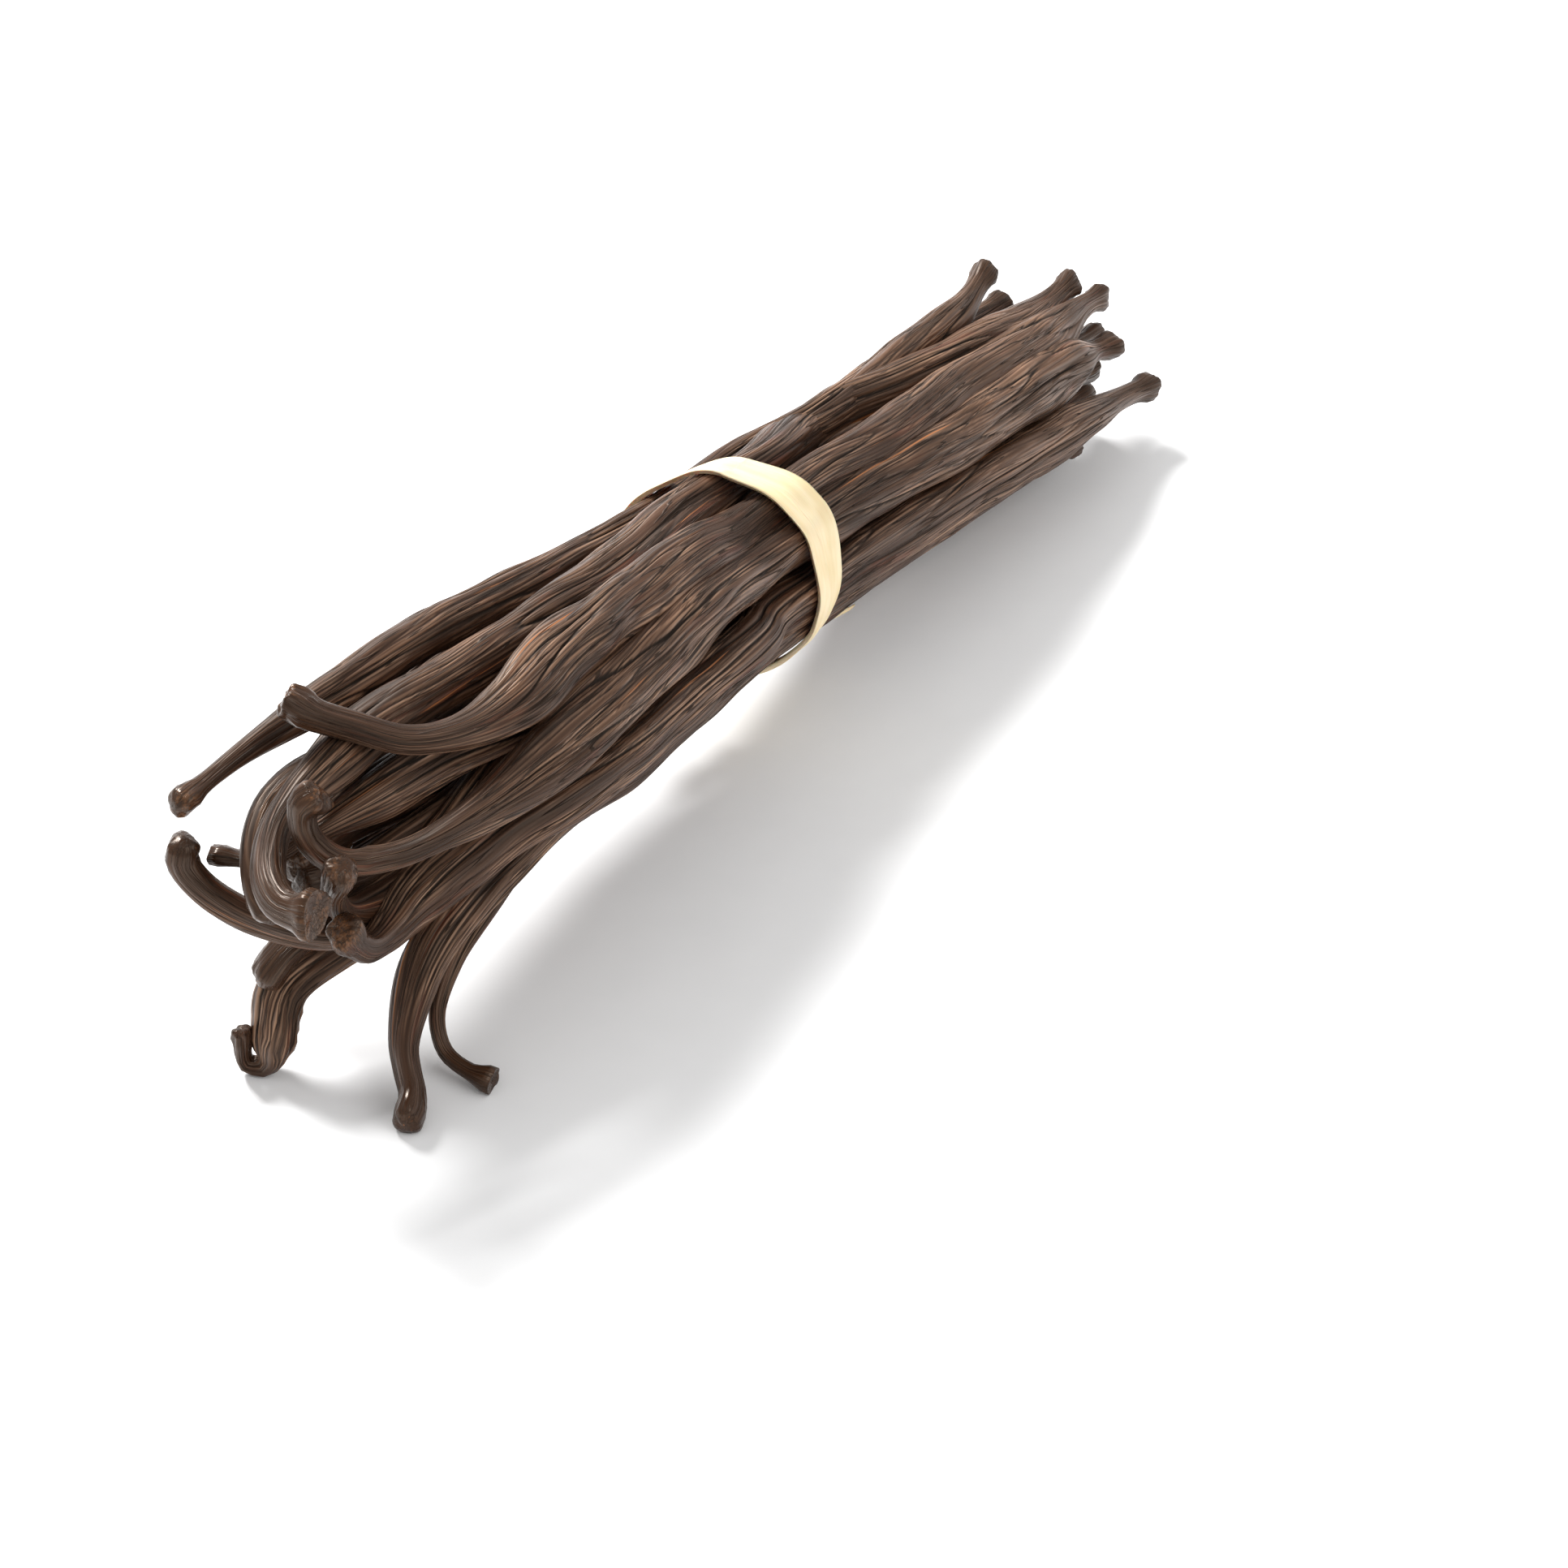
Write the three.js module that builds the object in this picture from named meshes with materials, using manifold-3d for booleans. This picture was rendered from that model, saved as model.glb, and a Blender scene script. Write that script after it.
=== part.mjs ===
// A tied bundle of cured vanilla pods, lying on a table.
//
// Nineteen pods are held together by one strip of raffia. Their thin blossom tips
// point to +X and their hooked stalk ends to -X. The bundle leans: the blossom end
// lies on the table, and the stalk end is propped on the few pods that droop under it.
//
// The pods are one solid, a hidden core with every pod fused to it. The raffia is a
// second solid, a closed band with a small knot and two short tails.
//
// Bundle coordinates are [x, y, h]: x along the bundle from the tie, y across it,
// h up from the bundle's axis. All lengths are millimetres, all angles degrees.

import * as THREE from "three";
import { mergeVertices } from "three/addons/utils/BufferGeometryUtils.js";
import Module from "manifold-3d";

const { cos, sin, tan, min, max, exp, PI } = Math;
const RAD = PI / 180;

// ---- The bundle -------------------------------------------------------------

const TIE_HEIGHT = 21.6; // the axis above the table at the tie
const LEAN = 6; // the axis falls towards the blossom tips
const CENTRE = [-4.8, -0.1]; // middle of the bundle's outline, seen from above
const TIE_CENTRE = [0.5, 0.3]; // y and h of the middle of the pods where they are tied
const TIE_RADIUS = 12.8; // out to the backs of the pods in the outer ring there
const INNER_LANE = 5.2; // from the middle to the pods of the inner ring
const LANE_STATIONS = [10, 0, -10]; // x where a pod keeps to its lane
const LANE_SPREAD = 0.06; // share by which a lane has opened at the spread reach
const SPREAD_REACH = 28;

// ---- A pod ------------------------------------------------------------------

const SIDES = 8; // flats round a pod
const TIP_HALF = 1.5; // half the width just behind the blossom tip
const TIP_REACH = 5; // where the pod starts to swell
const BODY_FLATNESS = 0.8; // thickness to width, at full width
const TIP_FLATNESS = 0.97; // the same at the blossom tip
const SQUEEZE = 0.16; // share of its girth that a pod loses under the tie
const SQUEEZE_REACH = 17; // how far along the bundle that is felt
const WAVE = 0.05; // slow swelling and thinning along a pod
const WAVE_LENGTH = 105;
const WAVE_SHIFT = 2.4; // phase from one pod to the next, radians
const COARSE_STEP = 13; // spacing of sections along the straight part
const FINE_STEP = 3.6; // and round a hook
const HOOK_REACH = 42; // the part that needs the fine step
const TIP_STATIONS = [0, 1.2, 3.5, 6, 12, 22, 34];
const FLAT_GAIN = 1.03; // makes up for the flats cutting inside the round
const END_ROUNDING = 0.72; // share of the width left at an end's rim
const END_RIM = 1; // from the last full section to that rim
const MIDWAY = 0.5; // share of a pod's length where its stalk half begins
const MIDWAY_BLEND = 0.25; // share over which one half goes over into the other

// Swellings at the two ends: extra half width, where it peaks and how far it spreads,
// and for a stalk end the thickness of its neck to its width.
const TIP_KNOB = { gain: 0.5, at: 1.6, spread: 1.5 };
const ENDS = {
  bulb: { gain: 0.6, at: 2.0, spread: 1.9, flat: 0.75 },
  collar: { gain: 1.2, at: 0.9, spread: 1.3, flat: 0.8 },
  rough: { gain: 0.35, at: 1.6, spread: 2.2, flat: 0.9 },
  scar: { gain: 0.75, at: 1.7, spread: 1.8, flat: 0.9 },
  cup: { gain: 0.5, at: 0.8, spread: 1.6, flat: 0.6 },
  flare: { gain: 0.75, at: 0.7, spread: 1.6, flat: 0.95 },
  fold: { gain: 0.35, at: 2.2, spread: 1.6, flat: 0.85 },
  torn: { gain: 0.25, at: 1.5, spread: 1.5, flat: 0.7 },
  round: { gain: 0.15, at: 2.0, spread: 2.5, flat: 0.85 },
  knob: { gain: 0.65, at: 1.8, spread: 1.9, flat: 0.9 },
  plain: { gain: 0.1, at: 1.5, spread: 1.5, flat: 0.9 },
};

// At the tie each pod lies in one of two rings round the middle one, at a turn counted
// from the top towards -Y.
// From the blossom tip it swells to its full width over its swell. Half the width in its
// hook is neck, the hook is that long, and the pod narrows into it over its taper. Its
// route runs from the blossom tip over tips to the tie, and on over stalk to the stalk end.
const PODS = [
  {
    name: "straight", ring: "outer", turn: -52,
    width: 6.2, neck: 1.5, hook: 4, taper: 34, swell: 14, end: "bulb",
    tips: [[77.5, 8.9, 10.9], [66, 6.9, 9.1], [44, 5.8, 8.4], [24, 4.9, 9.1]],
    stalk: [[-31, 9, 8.3], [-51.6, 10.8, 9.3], [-64.5, 11.3, 9.2], [-83.5, 12.5, 8], [-96, 12.5, 6.5]],
  },
  {
    name: "thick_curl", ring: "outer", turn: -10,
    width: 7, neck: 1.85, hook: 14, taper: 18, swell: 18, end: "collar",
    tips: [[89.5, 1.8, 6.5], [75.3, 0.8, 6.3], [61.5, 0.7, 7.4], [41.4, 2.5, 8.6], [24.7, 5.6, 8.3]],
    stalk: [[-26, 1, 10.2], [-46, 1.8, 10], [-63, 2.4, 9.8], [-74, 3.2, 9.3], [-82.7, 2.8, 8.1],
      [-87.5, 2.7, 6.9], [-91.4, 2.2, 5.4], [-94.5, 0.8, 3.8], [-97.4, -1.6, 2.6], [-99.1, -4.7, 1.9],
      [-98.9, -9.3, 2.5]],
  },
  {
    name: "high_hook", ring: "outer", turn: 28,
    width: 7.4, neck: 1.7, hook: 16, taper: 20, swell: 18, end: "rough",
    tips: [[92.3, -1.4, 4.2], [84.8, -2, 5.1], [71, -3.4, 5.6], [42.5, -4.6, 8.1], [24, -5.5, 8.9]],
    stalk: [[-18.2, -5, 11.2], [-38.8, -6.4, 12], [-50.9, -7.2, 12], [-61.8, -8.1, 11.1],
      [-69.6, -7.1, 11], [-74.8, -3.5, 11.2], [-77.9, 1.4, 12.8], [-80.1, 5.2, 14.2],
      [-81.1, 8.3, 15.7]],
  },
  {
    name: "big_curl", ring: "outer", turn: 54,
    width: 7.6, neck: 1.6, hook: 20, taper: 26, swell: 10, end: "scar",
    tips: [[86.5, -7, 0.3], [79.6, -6.3, 1.1], [66, -7.3, 3.2], [36, -9.1, 5.3]],
    stalk: [[-19.8, -9, 7.5], [-41.7, -11.4, 6.6], [-58.3, -12.6, 5.5], [-71.6, -12.5, 4.3],
      [-78, -11.6, 3.7], [-85.6, -9.3, 3.1], [-90.6, -5.4, 3.6], [-91.9, -2.6, 6.6], [-91.4, -2, 9.8],
      [-89.8, -3.7, 12.1]],
  },
  {
    name: "scar_hook", ring: "outer", turn: 98,
    width: 7.4, neck: 1.5, hook: 7, taper: 16, swell: 22, end: "scar",
    tips: [[87.4, -12.7, -4.8], [79, -12, -4.1], [63, -12.1, -2.9], [36, -11.1, -1.3]],
    stalk: [[-16.6, -12, -0.4], [-33.6, -12.4, -0.7], [-48.4, -12.7, -1.9], [-58, -11.8, -2.8],
      [-67, -8.9, -4.9], [-79.5, -6.9, -7.5], [-85.4, -7.6, -8.1], [-90.2, -8.5, -7.3],
      [-93.1, -8.7, -4.5], [-94.9, -8.8, -1.5]],
  },
  {
    name: "droop_flat", ring: "outer", turn: 120,
    width: 6.4, neck: 1.85, hook: 8, taper: 14, swell: 10, end: "fold",
    tips: [[69.5, -10.1, -8], [58, -8.9, -6.9], [40, -8.1, -6.2]],
    stalk: [[-27.5, -10.2, -5], [-41, -10.9, -5.8], [-52, -9.3, -6.8], [-62, -8.5, -9],
      [-69.5, -7.5, -12], [-76, -6.5, -16], [-81, -7.2, -20.2], [-84.9, -8.6, -24.3],
      [-86.6, -10.2, -26.6], [-88, -11.7, -28], [-90.3, -12.9, -29.3], [-92.2, -13.4, -29.8]],
  },
  {
    name: "droop_flare", ring: "outer", turn: 142,
    width: 5.6, neck: 1.05, hook: 9, taper: 24, swell: 16, end: "flare",
    tips: [[76, -3.5, -9], [48, -4.6, -9.6]],
    stalk: [[-30, -6.1, -9.8], [-52, -5, -12], [-66, -6.3, -15.3], [-73.5, -7, -19.5],
      [-78.2, -8.2, -24], [-79.9, -10.4, -27.3], [-80.5, -13.8, -28.3], [-80, -17.5, -28.8]],
  },
  {
    name: "droop_leg", ring: "outer", turn: 167,
    width: 5.8, neck: 1.15, hook: 6, taper: 6, swell: 20, end: "torn",
    tips: [[88, -0.5, -11], [66, -1, -12.6]],
    stalk: [[-30, -2.5, -12], [-58, -1.5, -12.8], [-75.5, 0, -14], [-82, 3, -16.5], [-87.5, 6, -20.5],
      [-90, 6, -25.5], [-91.2, 6.8, -30], [-92.3, 8.6, -30], [-93, 8.4, -24.5]],
  },
  {
    name: "stub", ring: "outer", turn: 194,
    width: 6, neck: 2.1, hook: 6, taper: 20, swell: 22, end: "round",
    tips: [[82, 6, -11.4], [66, 5.5, -13]],
    stalk: [[-30, 3, -12], [-66, 3, -13], [-80.5, 3.5, -13.5], [-87, 5.5, -15], [-90, 7.5, -19.5]],
  },
  {
    name: "far_low", ring: "outer", turn: 222,
    width: 6.4, neck: 1.5, hook: 12, taper: 26, swell: 22, end: "round",
    tips: [[86, 11, -9], [50, 9, -9.5]],
    stalk: [[-30, 8.5, -9.5], [-58, 9.5, -10.5], [-70, 10.5, -11.5], [-77, 13, -13.5], [-79, 17, -14.5]],
  },
  {
    name: "far_mid", ring: "outer", turn: 250,
    width: 6.4, neck: 1.6, hook: 10, taper: 26, swell: 22, end: "plain",
    tips: [[78, 11.5, -4.5], [50, 11.5, -5]],
    stalk: [[-30, 11.5, -4.5], [-56, 12.5, -5], [-68, 12, -6.5], [-76, 8.5, -8], [-79, 4, -7]],
  },
  {
    name: "far_high", ring: "outer", turn: 278,
    width: 6.4, neck: 1.6, hook: 12, taper: 26, swell: 22, end: "scar",
    tips: [[84, 9.5, 3], [50, 11, 2.5]],
    stalk: [[-30, 12.2, 1.5], [-54, 12.8, 1.5], [-66, 13, -1], [-72, 13.5, -5.5], [-72.5, 15.5, -10]],
  },
  {
    name: "left_hook", ring: "inner", turn: 160,
    width: 6.4, neck: 1.95, hook: 18, taper: 20, swell: 22, end: "round",
    tips: [[84, -4, -7], [50, -3, -6.5]],
    stalk: [[-30, -3.5, -6.5], [-60, -2.5, -8.5], [-80, -4.5, -9.5], [-88.5, -1.5, -9.2],
      [-92.5, 4.5, -7.5], [-94.5, 10, -4.5], [-95.5, 12.5, -0.5], [-95, 12, 2.5]],
  },
  {
    name: "small_end", ring: "inner", turn: 330,
    width: 7, neck: 1.5, hook: 6, taper: 18, swell: 22, end: "cup",
    tips: [[86, 3.5, 1.5], [50, 3, 4]],
    stalk: [[-30, 0, 6], [-54, -4.5, 5.5], [-68, -1.5, 4.5], [-77.5, 0.5, 3], [-83.5, 3, 1],
      [-88, 6.5, -2], [-90.5, 12.5, -2.5]],
  },
  {
    name: "upright", ring: "inner", turn: 30,
    width: 6.4, neck: 1.45, hook: 12, taper: 14, swell: 22, end: "knob",
    tips: [[90, -2, -1], [50, -3, 3]],
    stalk: [[-30, -4, 4], [-58, -5.5, 1], [-71, -6, -3], [-76.7, -4.4, -7.5], [-83.7, -3.9, -7.1],
      [-89.2, -4.8, -4.4], [-93.2, -6.8, 1.3], [-94.2, -9.3, 6.6]],
  },
  {
    name: "inner_near", ring: "inner", turn: 90,
    width: 6.4, neck: 2.1, hook: 6, taper: 24, swell: 22, end: "plain",
    tips: [[82, -6, -2], [50, -5.5, -1]],
    stalk: [[-30, -6, 0], [-58, -5, -2], [-72, -2.5, -4], [-81, 0, -5.6], [-88.3, 2.4, -4.6]],
  },
  {
    name: "inner_low", ring: "inner", turn: 210,
    width: 6.4, neck: 2.1, hook: 16, taper: 20, swell: 22, end: "round",
    tips: [[80, 3, -8], [50, 3, -6]],
    stalk: [[-30, 3, -6], [-58, 5.5, -1], [-76.4, 6.8, 4.3], [-81.8, 7.1, 4.6], [-86.1, 7, 3.6],
      [-90.1, 5.8, 1.8], [-93.1, 3.9, -0.3], [-95, 1.5, -2.2], [-95.5, -0.9, -3.5]],
  },
  {
    name: "inner_far", ring: "inner", turn: 270,
    width: 6.4, neck: 1.6, hook: 10, taper: 26, swell: 22, end: "scar",
    tips: [[88, 6, -3], [50, 5.5, -1]],
    stalk: [[-30, 6, -1], [-60, 7.5, -1], [-74, 7, -2.5], [-80, 3.5, -4.5]],
  },
  {
    name: "middle", ring: "middle", turn: 0,
    width: 6.6, neck: 2.2, hook: 6, taper: 24, swell: 22, end: "plain",
    tips: [[84, 0, -3], [50, 0, -1]],
    stalk: [[-30, 0, 0], [-62, 2, -1.5], [-76, 4, -2], [-87.5, 4.5, -2.5]],
  },
];

// ---- The core that the pods are fused to ------------------------------------

const CORE_RADII = [[60, 3], [46, 6.5], [20, 7.8], [-20, 7.8], [-44, 7], [-60, 4], [-70, 2]];
const CORE_SIDES = 10;

// ---- The raffia tie ---------------------------------------------------------

const BAND_MIDDLE = -3.5; // x of the middle of the hoop, which stands a little askew
const BAND_RADIUS = 13.7; // to the middle of the strip
const BAND_SLANT = 5.2; // how far one side of the hoop is pushed towards the tips
const BAND_SLANT_TURN = 51; // and which side that is
const BAND_WIDTH = 7.6;
const BAND_PINCH = 0.4; // share of the width where the knot gathers the strip
const BAND_THICK = 0.5;
const BAND_STATIONS = 44;
const KNOT_TURN = 190; // the knot is underneath
const PINCH_SPREAD = 48; // degrees over which the strip narrows
const KNOT_SIZE = [6, 4.4, 2.8]; // along the band, along the bundle, off the pods
const TAIL_WIDTH = 2.4;
const TAIL_TAPER = 0.45; // share of that width lost at its end
const TAIL_STATIONS = 6;
// The tails' ends, measured from the knot: along the bundle, towards -Y, and up.
const TAIL_ENDS = [[22, 9.8, 2.6], [-9, -5, 1.5]];
const TAIL_BOW = 1; // they sag this far off the straight line

// ---- Helpers ----------------------------------------------------------------

const wasm = await Module();
wasm.setup();

// Bundle coordinates to the part's own frame, whose z = 0 is the table.
function place([x, y, h]) {
  return new THREE.Vector3(x - CENTRE[0], y - CENTRE[1], TIE_HEIGHT - x * tan(LEAN * RAD) + h);
}

function smooth(t) {
  const u = min(max(t, 0), 1);
  return u * u * (3 - 2 * u);
}

function swelling({ gain, at, spread }, distance) {
  return gain * exp(-(((distance - at) / spread) ** 2));
}

// Rings of points, each a loop of the same count, joined into one closed skin.
// Without closed ends the last ring joins the first, as round a hoop.
function skin(rings, closedEnds) {
  const count = rings[0].length;
  const points = rings.flat();
  const faces = [];
  const joints = closedEnds ? rings.length - 1 : rings.length;
  for (let r = 0; r < joints; r += 1) {
    const here = r * count;
    const next = ((r + 1) % rings.length) * count;
    for (let k = 0; k < count; k += 1) {
      const l = (k + 1) % count;
      faces.push(here + k, here + l, next + l, here + k, next + l, next + k);
    }
  }
  if (closedEnds) {
    for (const [ring, first] of [[rings[0], true], [rings.at(-1), false]]) {
      const start = first ? 0 : (rings.length - 1) * count;
      const middle = new THREE.Vector3();
      ring.forEach((p) => middle.addScaledVector(p, 1 / count));
      points.push(middle);
      for (let k = 0; k < count; k += 1) {
        const l = (k + 1) % count;
        if (first) faces.push(points.length - 1, start + l, start + k);
        else faces.push(points.length - 1, start + k, start + l);
      }
    }
  }
  const geometry = new THREE.BufferGeometry().setFromPoints(points);
  geometry.setIndex(faces);
  return geometry;
}

function solid(geometry) {
  const merged = mergeVertices(geometry, 1e-4);
  const made = new wasm.Manifold(
    new wasm.Mesh({
      numProp: 3,
      vertProperties: new Float32Array(merged.attributes.position.array),
      triVerts: new Uint32Array(merged.index.array),
    }),
  );
  return made.volume() < 0 ? turnedOut(merged) : made;
}

function turnedOut(geometry) {
  const faces = [...geometry.index.array];
  for (let i = 0; i < faces.length; i += 3) [faces[i], faces[i + 1]] = [faces[i + 1], faces[i]];
  geometry.setIndex(faces);
  return solid(geometry);
}

// The largest outer body of a join, so that no scrap or sealed hollow is left.
function outerBody(joined) {
  const bodies = joined.decompose().filter((body) => body.volume() > 0);
  return bodies.reduce((a, b) => (a.volume() > b.volume() ? a : b));
}

function meshOf(body, name, material) {
  const { vertProperties, triVerts } = body.getMesh();
  const geometry = new THREE.BufferGeometry();
  geometry.setAttribute("position", new THREE.BufferAttribute(vertProperties, 3));
  geometry.setIndex(new THREE.BufferAttribute(triVerts, 1));
  geometry.computeVertexNormals();
  const mesh = new THREE.Mesh(geometry, material);
  mesh.name = name;
  return mesh;
}

// ---- Building a pod ---------------------------------------------------------

function laneRadius({ ring, width }) {
  if (ring === "middle") return 0;
  if (ring === "inner") return INNER_LANE;
  return TIE_RADIUS - (width / 2) * BODY_FLATNESS * (1 - SQUEEZE) * FLAT_GAIN;
}

function lanePoint(pod, x) {
  const radius = laneRadius(pod) * (1 + LANE_SPREAD * (x / SPREAD_REACH) ** 2);
  const [y, h] = TIE_CENTRE;
  return [x, y - radius * sin(pod.turn * RAD), h + radius * cos(pod.turn * RAD)];
}

function route(pod) {
  const lane = LANE_STATIONS.map((x) => lanePoint(pod, x));
  const points = [...pod.tips, ...lane, ...pod.stalk].map(place);
  return new THREE.CatmullRomCurve3(points, false, "centripetal");
}

// A pod that bears on the table is pressed flat there.
function restedOnTable(point) {
  return point.setZ(max(point.z, 0));
}

function halfWidth(pod, index, along, length, fromTie) {
  const full = pod.width / 2;
  const toEnd = length - along;
  const fromTip = TIP_HALF + (full - TIP_HALF) * smooth((along - TIP_REACH) / pod.swell);
  const fromEnd = pod.neck + (full - pod.neck) * smooth((toEnd - pod.hook) / pod.taper);
  const wave = 1 + WAVE * sin((2 * PI * along) / WAVE_LENGTH + WAVE_SHIFT * index);
  const squeeze = 1 - SQUEEZE * exp(-((fromTie / SQUEEZE_REACH) ** 2));
  const body = min(fromTip, fromEnd) * wave * squeeze;
  return body + swelling(TIP_KNOB, along) + swelling(ENDS[pod.end], toEnd);
}

function sectionStations(length) {
  const stations = [...TIP_STATIONS];
  const hookStart = length - HOOK_REACH;
  const coarse = Math.round((hookStart - stations.at(-1)) / COARSE_STEP);
  const step = (hookStart - stations.at(-1)) / coarse;
  for (let k = 0; k < coarse; k += 1) stations.push(stations.at(-1) + step);
  const fine = Math.round(HOOK_REACH / FINE_STEP);
  for (let k = 1; k < fine; k += 1) stations.push(hookStart + (k * HOOK_REACH) / fine);
  stations.push(length - END_RIM, length);
  return stations;
}

function podSolid(pod, index) {
  const curve = route(pod);
  const length = curve.getLength();
  const stations = sectionStations(length);
  const points = stations.map((s) => curve.getPointAt(min(s / length, 1)));
  const tangents = stations.map((s) => curve.getTangentAt(min(s / length, 1)));

  // The flat side faces out of the bundle at the tie, and is carried along from there.
  const turn = pod.turn * RAD;
  const outward = new THREE.Vector3(0, -sin(turn), cos(turn));
  const tied = points.reduce((best, p, k) => (Math.abs(p.x) < Math.abs(points[best].x) ? k : best), 0);
  const normals = [];
  const carry = (from, k) => from.clone().addScaledVector(tangents[k], -from.dot(tangents[k])).normalize();
  normals[tied] = carry(outward, tied);
  for (let k = tied + 1; k < points.length; k += 1) normals[k] = carry(normals[k - 1], k);
  for (let k = tied - 1; k >= 0; k -= 1) normals[k] = carry(normals[k + 1], k);

  const rings = stations.map((s, k) => {
    const rim = k === 0 || k === stations.length - 1 ? END_ROUNDING : 1;
    const half = halfWidth(pod, index, s, length, points[k].x + CENTRE[0]) * rim * FLAT_GAIN;
    const plump = smooth((half - pod.neck) / (pod.width / 2 - pod.neck));
    const nearStalk = smooth((s / length - MIDWAY) / MIDWAY_BLEND);
    const neckFlatness = TIP_FLATNESS + (ENDS[pod.end].flat - TIP_FLATNESS) * nearStalk;
    const thick = half * (neckFlatness + (BODY_FLATNESS - neckFlatness) * plump);
    const side = new THREE.Vector3().crossVectors(tangents[k], normals[k]);
    return Array.from({ length: SIDES }, (_, j) => {
      const a = (2 * PI * (j + 0.5)) / SIDES;
      const point = points[k].clone();
      point.addScaledVector(side, half * cos(a)).addScaledVector(normals[k], thick * sin(a));
      return restedOnTable(point);
    });
  });
  return solid(skin(rings, true));
}

function coreSolid() {
  const rings = CORE_RADII.map(([x, radius]) =>
    Array.from({ length: CORE_SIDES }, (_, j) => {
      const a = (2 * PI * j) / CORE_SIDES;
      return place([x, radius * cos(a), radius * sin(a)]);
    }),
  );
  return solid(skin(rings, true));
}

// ---- Building the raffia ----------------------------------------------------

// A point of the band at a turn round the axis, this far along the bundle from the
// strip's middle line and this far out from it.
function bandPoint(turn, across, out) {
  const a = turn * RAD;
  const [y, h] = TIE_CENTRE;
  const radius = BAND_RADIUS + out;
  const askew = BAND_SLANT * cos((turn - BAND_SLANT_TURN) * RAD);
  return place([BAND_MIDDLE + askew + across, y - radius * sin(a), h + radius * cos(a)]);
}

// The four corners of a strip, each as its share of half the width and thickness.
const STRIP_CORNERS = [[-1, -1], [1, -1], [1, 1], [-1, 1]];

function bandSolid() {
  const rings = Array.from({ length: BAND_STATIONS }, (_, k) => {
    const turn = (360 * k) / BAND_STATIONS;
    const fromKnot = Math.abs(((turn - KNOT_TURN + 540) % 360) - 180);
    const width = BAND_WIDTH * (BAND_PINCH + (1 - BAND_PINCH) * smooth(fromKnot / PINCH_SPREAD));
    return STRIP_CORNERS.map(([i, j]) => bandPoint(turn, (i * width) / 2, (j * BAND_THICK) / 2));
  });
  return solid(skin(rings, false));
}

function knotMiddle() {
  return bandPoint(KNOT_TURN, 0, (KNOT_SIZE[2] - BAND_THICK) / 2);
}

function knotSolid() {
  const a = KNOT_TURN * RAD;
  const out = new THREE.Vector3(0, -sin(a), cos(a));
  const along = new THREE.Vector3(1, 0, 0);
  const round = new THREE.Vector3().crossVectors(out, along);
  const [long, wide, high] = KNOT_SIZE;
  const geometry = new THREE.IcosahedronGeometry(0.5, 1);
  geometry.deleteAttribute("normal");
  geometry.deleteAttribute("uv");
  const axes = [round.multiplyScalar(long), along.multiplyScalar(wide), out.multiplyScalar(high)];
  geometry.applyMatrix4(new THREE.Matrix4().makeBasis(...axes).setPosition(knotMiddle()));
  return solid(geometry);
}

function tailSolid([along, near, up]) {
  const start = knotMiddle();
  const end = start.clone().add(new THREE.Vector3(along, -near, up - along * tan(LEAN * RAD)));
  const heading = end.clone().sub(start).normalize();
  const side = new THREE.Vector3().crossVectors(heading, new THREE.Vector3(0, 0, 1)).normalize();
  const face = new THREE.Vector3().crossVectors(side, heading);
  const rings = Array.from({ length: TAIL_STATIONS }, (_, k) => {
    const t = k / (TAIL_STATIONS - 1);
    const centre = start.clone().lerp(end, t).addScaledVector(face, -TAIL_BOW * sin(PI * t));
    const width = TAIL_WIDTH * (1 - TAIL_TAPER * t);
    return STRIP_CORNERS.map(([i, j]) =>
      centre.clone().addScaledVector(side, (i * width) / 2).addScaledVector(face, (j * BAND_THICK) / 2),
    );
  });
  return solid(skin(rings, true));
}

// ---- The two pieces ---------------------------------------------------------

const podMaterial = new THREE.MeshStandardMaterial({ color: 0x3a2a20, roughness: 0.5, metalness: 0 });
const raffiaMaterial = new THREE.MeshStandardMaterial({ color: 0xf0e2b8, roughness: 0.7, metalness: 0 });

const pods = outerBody(wasm.Manifold.union([coreSolid(), ...PODS.map(podSolid)]));
const raffia = outerBody(wasm.Manifold.union([bandSolid(), knotSolid(), ...TAIL_ENDS.map(tailSolid)]));

const group = new THREE.Group();
group.add(meshOf(pods, "pods", podMaterial));
group.add(meshOf(raffia, "raffia_tie", raffiaMaterial));

export default group;
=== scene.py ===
# %% [markdown]
# # A tied bundle of vanilla pods
#
# A vanilla pod is the fruit of a climbing orchid. Cured, it is a long flat purse of soft black
# skin, thrown into hundreds of fine lengthwise wrinkles as it dried. At one end is the stalk,
# bent into a hook where the pod hung from the vine. At the other is the blossom tip, drawn out
# thin and ending in a small dark knob where the flower withered.
#
# This script dresses a plain solid model of one such bundle. The solids give the places and
# sizes, and everything that the eye reads as vanilla is made here: the skin of every pod, the
# hooks and scars of the stalks, and the strip of raffia that ties them.

import bpy
import numpy as np
from mathutils import Matrix, Vector
from mathutils.geometry import convex_hull_2d


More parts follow.
